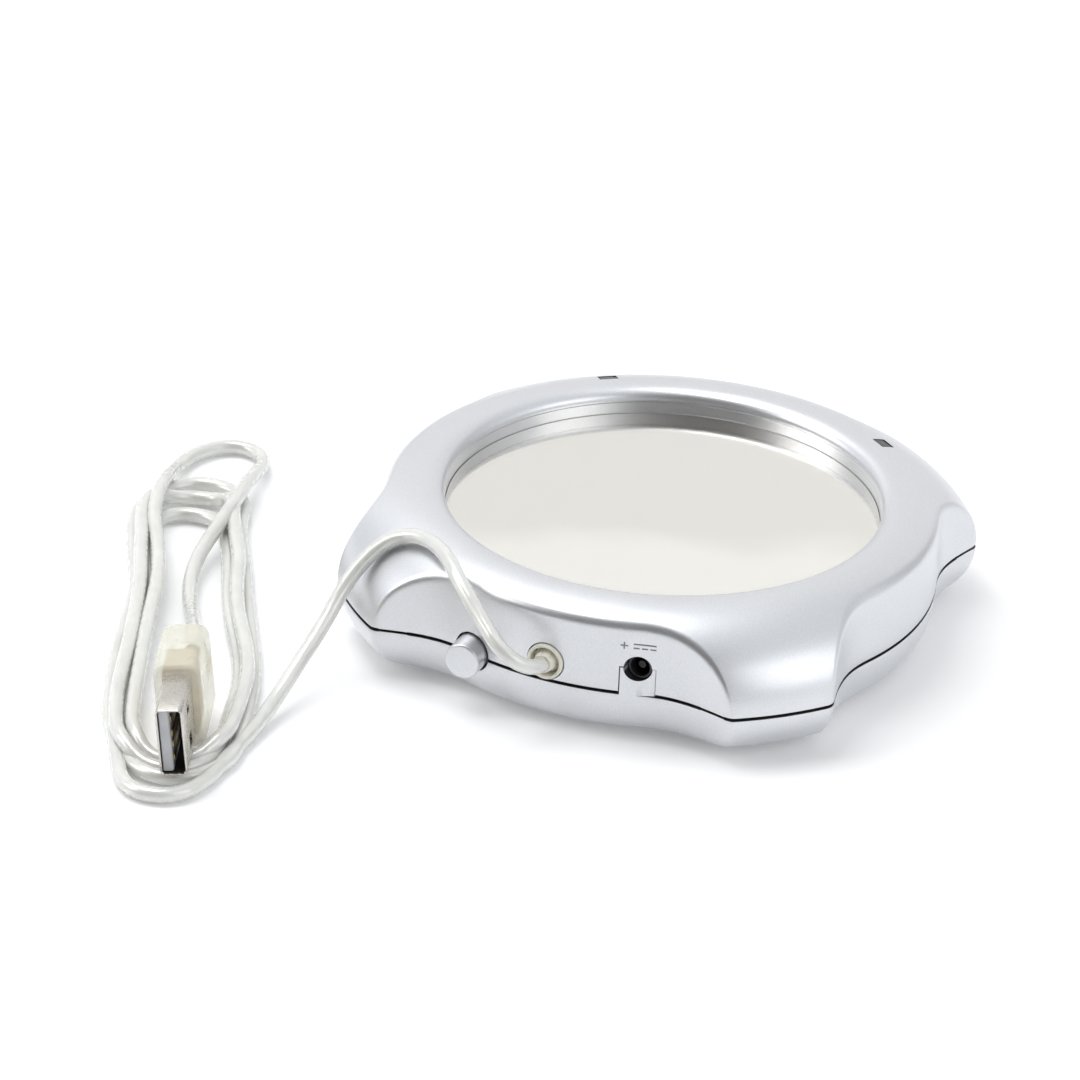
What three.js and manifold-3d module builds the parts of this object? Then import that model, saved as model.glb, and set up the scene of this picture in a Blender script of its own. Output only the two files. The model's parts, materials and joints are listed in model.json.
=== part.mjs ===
// Cup warmer for a desk: a silver two-part housing with four flared wings, a sunken heated plate that a mug
// stands on, a latching push button, a DC inlet, and a thin clear USB lead folded into a hank.
//
// Millimetres, +Z up. The button, the cable gland and the DC inlet face -Y, and +X is to their right.
// Shapes are drawn about the axis of the plate's well. The group at the end moves them so that the origin is
// on the table, in the middle of the housing's footprint, button included.

import * as THREE from 'three';
import { mergeVertices } from 'three/addons/utils/BufferGeometryUtils.js';
import ManifoldModule from 'manifold-3d';

const wasm = await ManifoldModule();
wasm.setup();

// ---------------------------------------------------------------- driving dimensions

const wellRadius = 37.5;
const bodyRadius = 47.7;
const wingRadius = 56.4;
const wingHalfAngle = 9.5;
const flareAngle = 27;
const flarePower = 2.55;

const footHeight = 1.2;
const seamHeight = 9.1;
const seamGap = 0.4;
const plateTop = 19.3;
const rimHeight = 23.7;
const wall = 2;
const gap = 0.3;

const buttonRadius = 3.12;
const buttonTravel = 2.5;
const buttonProtrusion = 2;
const switchFront = -37.6;
const switchDepth = 8;

const cableRadius = 1.35;

// ---------------------------------------------------------------- derived sizes

const bowlTop = seamHeight - seamGap / 2;
const domeBase = seamHeight + seamGap / 2;
const floorTop = footHeight + wall;
const floorBodyRadius = bodyRadius - 3.5;
const floorWingRadius = wingRadius - 6.8;
const domeShoulder = wellRadius + 3;
const rimRoll = 2;
const wellFloor = plateTop + gap;

const button = { x: -14.4, z: seamHeight + 0.4, hole: buttonRadius + 0.38 };
const gland = { x: 0, z: 12.55, hole: 3.4 };
const inlet = { x: 15.6, z: 13.9, hole: 2.3 };
const buttonFace = -bodyRadius - buttonProtrusion;

const plateThickness = 0.8;
const plateBottom = plateTop - plateThickness;
const plateStep = 0.4;
const plateRadius = wellRadius - gap;
const plateFlangeRadius = wellRadius + 1.7;
const heaterRadius = 31;
const gasketInner = heaterRadius + 0.6;
const gasketOuter = gasketInner + 3;
const gasketTop = plateBottom - gap;
const gasketBottom = gasketTop - 1;
const heaterBottom = gasketTop - 0.8;
const padTop = heaterBottom - gap;
const padBottom = padTop - 1.2;
const retainerFloor = padBottom - gap;
const retainerBottom = retainerFloor - 1.2;

const caseScrewRadius = 45.6;
const retainerScrewRadius = 42.4;
const retainerScrewAngles = [90, 210, 330];
const diagonals = [45, 135, 225, 315];
const footRadius = 5;
const footPlace = 36;
const ledRadius = 44;
const ledAngles = { right: 53.3, left: 126.7 };
const windowSize = { along: 3.4, across: 2.4 };

const boardBottom = 4.3;
const boardTop = boardBottom + 1.2;
const boardScrewX = 19;
const boardScrewY = -12;
const clampX = 5.5;
const clampY = -36.8;

// Cutters for the openings in the front wall start at this y, well outside the housing.
const outside = -60;
const wallInside = -40;
const switchBay = -36;

// Screw posts and lamp holders moulded on the shells. Heights are in z.
const postRoot = footHeight + wall - gap;
const caseBoss = { radius: 2.8, bottom: 8.3, top: 20.4, hole: 1.5, holeTop: 16 };
const casePost = { radius: 3.6, top: 8, hole: 1.7, headHole: 2.9, headTop: 4.2 };
const retainerBoss = { radius: 2.3, top: 21.8, hole: 0.95, holeTop: 20.4 };
const lampHolder = { radius: 2.6, bottom: 16.8, top: 21.6, hole: 1.8, holeTop: 21 };
const boardPost = { radius: 2.2, hole: 0.95, holeBottom: 2.4 };
const clampPost = { radius: 2, top: 11, hole: 0.85, holeBottom: 6 };

// ---------------------------------------------------------------- materials

function paint(colour, roughness, metalness) {
  return new THREE.MeshStandardMaterial({ color: colour, roughness, metalness });
}

const silverPaint = paint(0xc9cbce, 0.38, 0.6);
const polishedSteel = paint(0xd9d6cf, 0.12, 1);
const screwSteel = paint(0x9a9da1, 0.35, 1);
const creamVinyl = paint(0xe6e2c8, 0.35, 0);
const clearVinyl = paint(0xe4e6e3, 0.15, 0.2);
const blackPlastic = paint(0x141416, 0.45, 0);
const smokedLens = paint(0x3a3c40, 0.15, 0);
const ledResin = paint(0xd94a2a, 0.2, 0);
const greenBoard = paint(0x1f6b3a, 0.5, 0);
const greyRubber = paint(0x55575a, 0.8, 0);
const whiteSilicone = paint(0xe8e8e4, 0.6, 0);
const heaterFilm = paint(0xb0662a, 0.5, 0.2);
const feltPad = paint(0xd8cfb8, 0.95, 0);
const amberPlastic = paint(0x8a7a5c, 0.6, 0);
const tongueWhite = paint(0xbfc1c4, 0.45, 0);
const contactGold = paint(0xd8b25a, 0.25, 1);
const redVinyl = paint(0xb52222, 0.45, 0);
const blackVinyl = paint(0x1c1c1c, 0.45, 0);

// ---------------------------------------------------------------- geometry helpers

const toRadians = THREE.MathUtils.degToRad;

function polar(radius, degrees) {
  const angle = toRadians(degrees);
  return [radius * Math.cos(angle), radius * Math.sin(angle)];
}

// Turns a closed three.js geometry into a manifold solid, facing outwards whichever way it was drawn.
function solid(geometry) {
  const bare = new THREE.BufferGeometry();
  const flat = geometry.index ? geometry : mergeVertices(geometry);
  bare.setAttribute('position', flat.getAttribute('position').clone());
  bare.setIndex(flat.index.clone());
  const merged = mergeVertices(bare, 1e-4);
  const position = merged.getAttribute('position');
  const corners = merged.index.array;
  const triangles = [];
  let volume = 0;
  const [a, b, c] = [new THREE.Vector3(), new THREE.Vector3(), new THREE.Vector3()];
  for (let i = 0; i < corners.length; i += 3) {
    const [p, q, r] = [corners[i], corners[i + 1], corners[i + 2]];
    if (p === q || q === r || r === p) continue;
    triangles.push([p, q, r]);
    a.fromBufferAttribute(position, p);
    b.fromBufferAttribute(position, q);
    c.fromBufferAttribute(position, r);
    volume += a.dot(b.cross(c));
  }
  const facing = volume < 0 ? triangles.map(([p, q, r]) => [p, r, q]) : triangles;
  return new wasm.Manifold(new wasm.Mesh({
    numProp: 3,
    vertProperties: new Float32Array(position.array),
    triVerts: new Uint32Array(facing.flat()),
  }));
}

function toGeometry(manifold) {
  const mesh = manifold.getMesh();
  const geometry = new THREE.BufferGeometry();
  geometry.setAttribute('position', new THREE.BufferAttribute(new Float32Array(mesh.vertProperties), 3));
  geometry.setIndex(new THREE.BufferAttribute(new Uint32Array(mesh.triVerts), 1));
  return geometry;
}

function union(...pieces) {
  return pieces.reduce((whole, piece) => whole.add(piece));
}

function cut(body, ...tools) {
  return tools.reduce((rest, tool) => rest.subtract(tool), body);
}

function block(low, high) {
  const size = high.map((value, i) => value - low[i]);
  const geometry = new THREE.BoxGeometry(...size);
  geometry.translate(...low.map((value, i) => value + size[i] / 2));
  return solid(geometry);
}

// A round bar between two points.
function rod(radius, from, to, segments = 16) {
  const start = new THREE.Vector3(...from);
  const along = new THREE.Vector3(...to).sub(start);
  const geometry = new THREE.CylinderGeometry(radius, radius, along.length(), segments);
  geometry.applyQuaternion(new THREE.Quaternion().setFromUnitVectors(
    new THREE.Vector3(0, 1, 0),
    along.clone().normalize(),
  ));
  geometry.translate(...start.addScaledVector(along, 0.5).toArray());
  return solid(geometry);
}

function pillar(radius, x, y, bottom, top, segments = 16) {
  return rod(radius, [x, y, bottom], [x, y, top], segments);
}

// A profile of [radius, height] turned about +Z.
function turned(profile, segments) {
  const points = profile.map(([radius, height]) => new THREE.Vector2(radius, height));
  const geometry = new THREE.LatheGeometry(points, segments);
  geometry.rotateX(Math.PI / 2);
  return solid(geometry);
}

// A profile of [radius, y] turned about a line along Y through x and z.
function turnedAlongY(profile, x, z, segments = 24) {
  const points = profile.map(([radius, y]) => new THREE.Vector2(radius, y));
  const geometry = new THREE.LatheGeometry(points, segments);
  geometry.translate(x, 0, z);
  return solid(geometry);
}

// A round lead along a smooth curve through the points.
function lead(points, radius, sides, steps) {
  const section = new THREE.Shape();
  for (let side = 0; side < sides; side += 1) {
    const [x, y] = polar(radius, (side * 360) / sides);
    if (side === 0) section.moveTo(x, y);
    else section.lineTo(x, y);
  }
  section.closePath();
  const route = points.map((point) => new THREE.Vector3(...point));
  const path = new THREE.CatmullRomCurve3(route, false, 'centripetal');
  return solid(new THREE.ExtrudeGeometry(section, { steps, extrudePath: path, curveSegments: 1 }));
}

// ---------------------------------------------------------------- plan of the housing

// The plan is a circle of the body radius that flares smoothly to the wing radius at each diagonal.
function planRadius(degrees, body, wing) {
  const fromDiagonal = Math.abs((((degrees % 90) + 90) % 90) - 45);
  const flare = (flareAngle - fromDiagonal) / (flareAngle - wingHalfAngle);
  return body + (wing - body) * THREE.MathUtils.clamp(flare, 0, 1) ** flarePower;
}

function planAngles() {
  const flareSteps = 4;
  const tipSteps = 2;
  const sideSteps = 3;
  const angles = [];
  for (const diagonal of diagonals) {
    for (let i = 0; i < flareSteps; i += 1) {
      angles.push(diagonal - flareAngle + ((flareAngle - wingHalfAngle) * i) / flareSteps);
    }
    for (let i = 0; i < tipSteps; i += 1) {
      angles.push(diagonal - wingHalfAngle + (2 * wingHalfAngle * i) / tipSteps);
    }
    for (let i = 0; i < flareSteps; i += 1) {
      angles.push(diagonal + wingHalfAngle + ((flareAngle - wingHalfAngle) * i) / flareSteps);
    }
    for (let i = 0; i < sideSteps; i += 1) {
      angles.push(diagonal + flareAngle + ((90 - 2 * flareAngle) * i) / sideSteps);
    }
  }
  return angles;
}

// A closed solid through plan outlines stacked in z. Each level is { z, body, wing }.
function stackedPlan(levels) {
  const angles = planAngles();
  const count = angles.length;
  const position = [];
  for (const level of levels) {
    for (const degrees of angles) {
      position.push(...polar(planRadius(degrees, level.body, level.wing), degrees), level.z);
    }
  }
  const lowCentre = position.length / 3;
  const highCentre = lowCentre + 1;
  position.push(0, 0, levels[0].z, 0, 0, levels[levels.length - 1].z);
  const index = [];
  for (let j = 0; j < count; j += 1) {
    const next = (j + 1) % count;
    for (let i = 0; i < levels.length - 1; i += 1) {
      const low = i * count;
      const high = low + count;
      index.push(low + j, low + next, high + next, low + j, high + next, high + j);
    }
    const last = (levels.length - 1) * count;
    index.push(lowCentre, next, j, highCentre, last + j, last + next);
  }
  const geometry = new THREE.BufferGeometry();
  geometry.setAttribute('position', new THREE.Float32BufferAttribute(position, 3));
  geometry.setIndex(index);
  return solid(geometry);
}

function planPrism(inset, bottom, top) {
  const level = { body: bodyRadius - inset, wing: wingRadius - inset };
  return stackedPlan([{ z: bottom, ...level }, { z: top, ...level }]);
}

function planRing(outerInset, innerInset, bottom, top) {
  return cut(planPrism(outerInset, bottom, top), planPrism(innerInset, bottom - 1, top + 1));
}

// ---------------------------------------------------------------- housing

// The dome falls from the shoulder round the well to the wing tips on a slightly squared quarter ellipse.
function domeCurve(inset, steps = 6) {
  const squareness = 1.8;
  const reach = wingRadius - inset - domeShoulder;
  const rise = rimHeight - inset - domeBase;
  const curve = [];
  for (let i = 0; i <= steps; i += 1) {
    const angle = ((Math.PI / 2) * i) / steps;
    curve.push([
      domeShoulder + reach * Math.max(Math.cos(angle), 0) ** (2 / squareness),
      domeBase + rise * Math.sin(angle),
    ]);
  }
  return curve;
}

function rimCurve() {
  const steps = 3;
  const curve = [];
  for (let i = 1; i <= steps; i += 1) {
    const angle = ((Math.PI / 2) * i) / steps;
    curve.push([
      domeShoulder - (domeShoulder - wellRadius) * Math.sin(angle),
      rimHeight - rimRoll + rimRoll * Math.cos(angle),
    ]);
  }
  return curve;
}

const domeSegments = 48;

function domeSolid(inset) {
  return turned([[0, domeBase], ...domeCurve(inset), [0, rimHeight - inset]], domeSegments);
}

function windowCutter(side, margin) {
  const [along, across] = [windowSize.along / 2 - margin, windowSize.across / 2 - margin];
  const geometry = new THREE.BoxGeometry(2 * across, 2 * along, 10);
  geometry.translate(ledRadius, 0, rimHeight + 2.8);
  geometry.rotateZ(toRadians(ledAngles[side]));
  return solid(geometry);
}

// A round cutter through the front wall, as far in as y = back.
function frontHole(place, radius, back) {
  return rod(radius, [place.x, outside, place.z], [place.x, back, place.z], 28);
}

// The lower shell carries a tab that fills the slot under the inlet.
const tabHalf = 2.8;

function topShell() {
  const roofInside = domeCurve(wall, 4).reverse();
  const roof = turned([
    ...domeCurve(0),
    ...rimCurve(),
    [wellRadius, wellFloor],
    [wellRadius + wall, wellFloor],
    [wellRadius + wall, rimHeight - wall],
    ...roofInside.slice(1),
    [wingRadius - wall, domeBase],
    [wingRadius, domeBase],
  ], domeSegments);
  const walls = planRing(0, wall, domeBase, rimHeight + 1).intersect(domeSolid(0));
  const housing = union(roof.intersect(planPrism(0, domeBase - 1, rimHeight + 1)), walls);

  const bosses = [];
  const holes = [];
  for (const degrees of diagonals) {
    const [x, y] = polar(caseScrewRadius, degrees);
    bosses.push(pillar(caseBoss.radius, x, y, caseBoss.bottom, caseBoss.top));
    holes.push(pillar(caseBoss.hole, x, y, caseBoss.bottom - gap, caseBoss.holeTop));
  }
  for (const degrees of retainerScrewAngles) {
    const [x, y] = polar(retainerScrewRadius, degrees);
    bosses.push(pillar(retainerBoss.radius, x, y, retainerFloor + gap, retainerBoss.top));
    holes.push(pillar(retainerBoss.hole, x, y, retainerFloor, retainerBoss.holeTop));
  }
  for (const side of ['left', 'right']) {
    const [x, y] = polar(ledRadius, ledAngles[side]);
    bosses.push(pillar(lampHolder.radius, x, y, lampHolder.bottom, lampHolder.top));
    holes.push(pillar(lampHolder.hole, x, y, lampHolder.bottom - gap, lampHolder.holeTop));
    holes.push(windowCutter(side, 0));
  }
  return cut(
    union(housing, ...bosses),
    ...holes,
    frontHole(button, button.hole, switchBay),
    frontHole(gland, gland.hole, wallInside),
    frontHole(inlet, inlet.hole, wallInside),
    block(
      [inlet.x - tabHalf - 0.2, outside, caseBoss.bottom],
      [inlet.x + tabHalf + 0.2, wallInside, inlet.z + 0.2],
    ),
  );
}

// Radii of the bowl at a height, on a quarter ellipse from the flat floor up to the seam.
function bowlLevel(z, inset) {
  const down = (bowlTop - z) / (bowlTop - footHeight);
  const swell = Math.sqrt(Math.max(1 - down * down, 0));
  return {
    z,
    body: floorBodyRadius + (bodyRadius - floorBodyRadius) * swell - inset,
    wing: floorWingRadius + (wingRadius - floorWingRadius) * swell - inset,
  };
}

function bowl(inset, bottom, top, steps) {
  const levels = [];
  for (let i = 0; i <= steps; i += 1) {
    const angle = ((Math.PI / 2) * i) / steps;
    levels.push(bowlLevel(bottom + (top - bottom) * (1 - Math.cos(angle)), inset));
  }
  return stackedPlan(levels);
}

function bottomShell() {
  const lip = cut(
    union(
      planRing(wall + 0.5, wall + 1.5, 6.5, 10.4),
      planRing(wall - 0.5, wall + 1.5, 6.5, 8.5),
    ),
    frontHole(button, buttonRadius + flangeWidth + 0.5, switchBay),
    block([gland.x - 5.2, outside, 7.6], [gland.x + 5.2, switchBay, 12]),
  );
  const tab = cut(
    planRing(0, wall, bowlTop - 1, inlet.z).intersect(
      block([inlet.x - tabHalf, outside, bowlTop - 1], [inlet.x + tabHalf, switchBay, inlet.z]),
    ),
    frontHole(inlet, inlet.hole, wallInside),
  );
  const cavity = union(bowl(wall, floorTop, bowlTop, 3), planPrism(wall, bowlTop - 0.2, bowlTop + 1));
  const posts = [
    block([inlet.x - 2.4, -38.8, postRoot], [inlet.x + 2.4, -33.5, inlet.z - inletHalf.z - gap]),
  ];
  const holes = [];
  for (const side of [1, -1]) {
    posts.push(pillar(boardPost.radius, side * boardScrewX, boardScrewY, postRoot, boardBottom - gap));
    holes.push(pillar(boardPost.hole, side * boardScrewX, boardScrewY, boardPost.holeBottom, boardTop));
    posts.push(pillar(clampPost.radius, side * clampX, clampY, postRoot, clampPost.top));
    holes.push(pillar(clampPost.hole, side * clampX, clampY, clampPost.holeBottom, clampPost.top + gap));
  }
  for (const degrees of diagonals) {
    const [x, y] = polar(caseScrewRadius, degrees);
    const [footX, footY] = polar(footPlace, degrees);
    posts.push(pillar(casePost.radius, x, y, floorTop - 0.7, casePost.top));
    holes.push(pillar(casePost.hole, x, y, 0, casePost.top + gap));
    holes.push(pillar(casePost.headHole, x, y, 0, casePost.headTop));
    holes.push(pillar(footRadius + 0.2, footX, footY, 0, footHeight + 0.6, 24));
  }
  return cut(
    union(cut(bowl(0, footHeight, bowlTop, 5), cavity), lip, tab, ...posts),
    ...holes,
    frontHole(button, button.hole, switchBay),
  );
}

// ---------------------------------------------------------------- heated plate and its stack

function ring(inner, outer, bottom, top, segments = 36) {
  return turned([[inner, bottom], [outer, bottom], [outer, top], [inner, top], [inner, bottom]], segments);
}

// A flat disc that fills the well, with a lower flange that the rim of the top shell holds down.
function heatingPlate() {
  return turned([
    [0, plateBottom],
    [plateFlangeRadius, plateBottom],
    [plateFlangeRadius, plateTop - plateStep],
    [plateRadius, plateTop - plateStep],
    [plateRadius, plateTop],
    [0, plateTop],
  ], 72);
}

const heaterLeadPlaces = { red: [-7, -5], black: [7, -5] };

function insulationPad() {
  const holes = Object.values(heaterLeadPlaces).map(
    ([x, y]) => pillar(1.1, x, y, padBottom - 1, padTop + 1, 12),
  );
  return cut(pillar(heaterRadius, 0, 0, padBottom, padTop, 36), ...holes);
}

function heaterRetainer() {
  const pieces = [
    pillar(gasketOuter, 0, 0, retainerBottom, retainerFloor, 36),
    ring(gasketInner, gasketOuter, retainerFloor - 0.5, gasketBottom - gap),
  ];
  const holes = Object.values(heaterLeadPlaces).map(
    ([x, y]) => pillar(1.1, x, y, retainerBottom - 1, retainerFloor + 1, 12),
  );
  for (const degrees of retainerScrewAngles) {
    const [x, y] = polar(retainerScrewRadius, degrees);
    const arm = new THREE.BoxGeometry(10, 5, retainerFloor - retainerBottom);
    arm.translate(retainerScrewRadius - 5, 0, (retainerFloor + retainerBottom) / 2);
    arm.rotateZ(toRadians(degrees));
    pieces.push(solid(arm));
    pieces.push(pillar(2.8, x, y, retainerBottom, retainerFloor));
    holes.push(pillar(1.1, x, y, retainerBottom - 1, retainerFloor + 1));
  }
  return cut(union(...pieces), ...holes);
}

// ---------------------------------------------------------------- fasteners and small parts

// A pan-head screw with a cross slot. The head is at headEnd and the tip at tipEnd, both heights in z.
function screw(x, y, tipEnd, headEnd, headRadius, shankRadius) {
  const up = headEnd > tipEnd ? 1 : -1;
  const headHeight = headRadius * 0.75;
  const underHead = headEnd - up * headHeight;
  const profile = [
    [0, tipEnd],
    [shankRadius * 0.4, tipEnd],
    [shankRadius, tipEnd + up * shankRadius],
    [shankRadius, underHead],
    [headRadius, underHead],
    [headRadius, headEnd - up * headHeight * 0.4],
    [headRadius * 0.7, headEnd],
    [0, headEnd],
  ];
  const turnedScrew = turned(profile, 10).translate([x, y, 0]);
  const slotHalf = [headRadius * 0.55, headRadius * 0.13];
  const slotDepth = headHeight * 0.45;
  const low = Math.min(headEnd - up * slotDepth, headEnd + up);
  const high = Math.max(headEnd - up * slotDepth, headEnd + up);
  return cut(
    turnedScrew,
    block([x - slotHalf[0], y - slotHalf[1], low], [x + slotHalf[0], y + slotHalf[1], high]),
    block([x - slotHalf[1], y - slotHalf[0], low], [x + slotHalf[1], y + slotHalf[0], high]),
  );
}

const boardOutline = [
  [-24, -33],
  [-21, -37],
  [-8, -37],
  [-8, -31.5],
  [21, -31.5],
  [24, -28.5],
  [24, -8],
  [-24, -8],
];

function circuitBoard() {
  const shape = new THREE.Shape(boardOutline.map(([x, y]) => new THREE.Vector2(x, y)));
  const geometry = new THREE.ExtrudeGeometry(shape, { depth: boardTop - boardBottom, bevelEnabled: false });
  geometry.translate(0, 0, boardBottom);
  return cut(
    solid(geometry),
    pillar(1.2, boardScrewX, boardScrewY, 0, 10),
    pillar(1.2, -boardScrewX, boardScrewY, 0, 10),
  );
}

const capBack = switchFront - gap - buttonTravel;
const capFlangeFront = capBack - 1.2;
const flangeWidth = 0.7;
const plungerEnd = capBack + 5.5;
const plungerRadius = 1.6;

function switchBody() {
  const half = 3.6;
  return cut(
    block(
      [button.x - half, switchFront, boardTop + gap],
      [button.x + half, switchFront + switchDepth, button.z + half],
    ),
    rod(
      plungerRadius + 0.35,
      [button.x, switchFront - 1, button.z],
      [button.x, plungerEnd + buttonTravel + 0.4, button.z],
    ),
  );
}

function buttonCap() {
  const edge = 0.35;
  return turnedAlongY([
    [0, buttonFace],
    [buttonRadius - edge, buttonFace],
    [buttonRadius - edge * 0.3, buttonFace + edge * 0.3],
    [buttonRadius, buttonFace + edge],
    [buttonRadius, capFlangeFront],
    [buttonRadius + flangeWidth, capFlangeFront],
    [buttonRadius + flangeWidth, capBack],
    [0, capBack],
  ], button.x, button.z, 28);
}

const inletFront = -40.4;
const inletBack = inletFront + 7.5;
const inletHalf = { x: 3.2, z: 3 };
const inletBore = 1.75;

function inletBody() {
  const barrelFront = -44.2;
  return cut(
    union(
      block(
        [inlet.x - inletHalf.x, inletFront, inlet.z - inletHalf.z],
        [inlet.x + inletHalf.x, inletBack, inlet.z + inletHalf.z],
      ),
      rod(inlet.hole - 0.2, [inlet.x, barrelFront, inlet.z], [inlet.x, inletFront + 1, inlet.z], 24),
    ),
    rod(inletBore, [inlet.x, barrelFront - 1, inlet.z], [inlet.x, inletBack - 1.1, inlet.z], 24),
  );
}

function inletPin() {
  return rod(0.65, [inlet.x, -43.2, inlet.z], [inlet.x, inletBack - 1.4, inlet.z], 16);
}

// The lamp stands in its holder under the window.
function ledLamp(side) {
  const [x, y] = polar(ledRadius, ledAngles[side]);
  const bodyTop = 19.2;
  const profile = [[0, 15.4], [1.65, 15.4], [1.65, 16.3], [1.5, 16.3], [1.5, bodyTop]];
  for (let i = 1; i <= 3; i += 1) {
    const angle = ((Math.PI / 2) * i) / 3;
    profile.push([1.5 * Math.max(Math.cos(angle), 0), bodyTop + 1.5 * Math.sin(angle)]);
  }
  return turned(profile, 12).translate([x, y, 0]);
}

function ledWindow(side) {
  return windowCutter(side, 0.15).intersect(domeSolid(0.12));
}

// ---------------------------------------------------------------- cable gland and inner leads

const glandFace = -bodyRadius - 0.5;
const stubEnd = glandFace - 0.8;
const stubBack = -39;

function strainRelief() {
  return turnedAlongY([
    [0, stubEnd],
    [1.65, stubEnd],
    [1.9, stubEnd + 0.3],
    [2.15, glandFace + 1.6],
    [2.6, glandFace + 1.6],
    [2.6, glandFace],
    [3, glandFace],
    [3.2, glandFace + 0.2],
    [3.2, -45.1],
    [4.4, -45.1],
    [4.4, -43.6],
    [2.4, -43.6],
    [1.9, stubBack],
    [0, stubBack],
  ], gland.x, gland.z, 20);
}

function cableClamp() {
  return cut(
    block([-clampX - 2, clampY - 1.8, 11.3], [clampX + 2, clampY + 1.8, 15.4]),
    rod(cableRadius + gap, [gland.x, clampY - 3, gland.z], [gland.x, clampY + 3, gland.z]),
    block([-cableRadius - gap, clampY - 3, 11], [cableRadius + gap, clampY + 3, gland.z]),
    pillar(1, clampX, clampY, 11, 16),
    pillar(1, -clampX, clampY, 11, 16),
  );
}

const innerCableEnd = -31;

function innerCable() {
  return rod(cableRadius, [gland.x, stubBack + gap, gland.z], [gland.x, innerCableEnd, gland.z]);
}

function supplyLead(side) {
  return lead([
    [side * 0.65, innerCableEnd + gap, gland.z],
    [side * 0.9, innerCableEnd + 2, gland.z - 0.3],
    [side * 2, innerCableEnd + 4.2, gland.z - 3],
    [side * 2.4, innerCableEnd + 4.8, boardTop + gap],
  ], 0.5, 6, 8);
}

function heaterLead(colour) {
  const [x, y] = heaterLeadPlaces[colour];
  return lead([
    [x * 1.2, y - 8, boardTop + gap],
    [x * 1.2, y - 7.4, boardTop + 2.5],
    [x * 1.05, y - 1, retainerBottom - 2.2],
    [x, y, retainerBottom],
    [x, y, heaterBottom - gap],
  ], 0.5, 6, 10);
}

// ---------------------------------------------------------------- USB lead

// The lead leaves the gland, climbs the front wall, rides over the front left wing and comes down to the
// table.
const cableRoute = [
  [0, stubEnd - gap, 12.55],
  [-0.2, -51.1, 12.8],
  [-1.0, -53.0, 13.6],
  [-2.4, -54.3, 14.7],
  [-4.2, -54.8, 16.0],
  [-6.0, -54.4, 17.1],
  [-8.2, -52.9, 18.4],
  [-10.5, -51.4, 19.7],
  [-13.0, -49.9, 21.4],
  [-15.9, -48.0, 23.2],
  [-19.4, -44.5, 24.5],
  [-24.2, -39.9, 24.5],
  [-28.5, -37.6, 24.1],
  [-32.4, -37.1, 22.9],
  [-35.7, -38.6, 20.5],
  [-38.0, -41.0, 17.4],
  [-39.4, -43.8, 14.1],
  [-40.0, -47.6, 11.0],
  [-40.4, -52.3, 8.3],
  [-40.7, -58.0, 5.9],
  [-40.8, -64.3, 3.6],
  [-40.8, -70.4, 2.0],
  [-40.6, -76.0, 1.45],
];

// The hank lies flat, its long axis turned a little from the Y axis. Its outline is a smooth closed curve
// through [along, across]: two soft ends with a waist between them, and the last loop reaching out behind.
const hank = { x: -66, y: -42, turn: 21, bottom: 0.1, height: 9.2, points: 48 };
const hankOutline = [
  [-65, 1],
  [-61, 6.5],
  [-50, 10.5],
  [-38, 12.5],
  [-25, 12.3],
  [-12, 10.8],
  [0, 8.6],
  [15, 7.2],
  [30, 6.6],
  [45, 5],
  [57, 3.2],
  [65.5, -0.5],
  [65, -5],
  [58, -10.5],
  [47, -14],
  [36, -17.2],
  [20, -16.3],
  [5, -14.9],
  [-15, -14.5],
  [-30, -13.9],
  [-45, -12.3],
  [-56, -9],
  [-63.5, -4],
];

function hankSolid() {
  const corners = hankOutline.map(([along, across]) => new THREE.Vector3(along, -across, 0));
  const curve = new THREE.CatmullRomCurve3(corners, true, 'centripetal');
  const outline = curve.getSpacedPoints(hank.points).slice(0, -1);
  const shape = new THREE.Shape(outline.map(({ x, y }) => new THREE.Vector2(x, y)));
  const geometry = new THREE.ExtrudeGeometry(shape, { depth: hank.height, bevelEnabled: false });
  geometry.rotateZ(toRadians(90 + hank.turn));
  geometry.translate(hank.x, hank.y, hank.bottom);
  return solid(geometry);
}

const plug = { x: -44.5, y: -96.7, z: 8.9, turn: 201, lean: 6 };
const overmould = { width: 8, height: 15.5, length: 16, boot: 3.5 };
const plugShell = { width: 4.5, height: 12, length: 12.1, wall: 0.35 };
const overmouldFront = -plugShell.length - 0.25;
const overmouldBack = overmouldFront - overmould.length;
const bootEnd = overmouldBack - overmould.boot;

// Moves a solid from the plug's own frame, tip at the origin and pointing along +Y, to where the plug lies.
function placePlug(piece) {
  return piece.rotate([0, plug.lean, 0]).rotate([0, 0, plug.turn]).translate([plug.x, plug.y, plug.z]);
}

function cableHank() {
  const pocket = union(
    block([-5.6, overmouldBack - gap, -12], [5.6, 2.5, 20]),
    block([-3.4, bootEnd - gap, -12], [3.4, overmouldBack, 20]),
  );
  const clearance = lead(cableRoute.slice(-7), cableRadius + gap, 8, 12);
  const end = cableRoute[cableRoute.length - 1];
  return cut(
    hankSolid(),
    placePlug(pocket),
    clearance,
    pillar(cableRadius + gap, end[0], end[1], -2, 3.2),
  );
}

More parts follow.
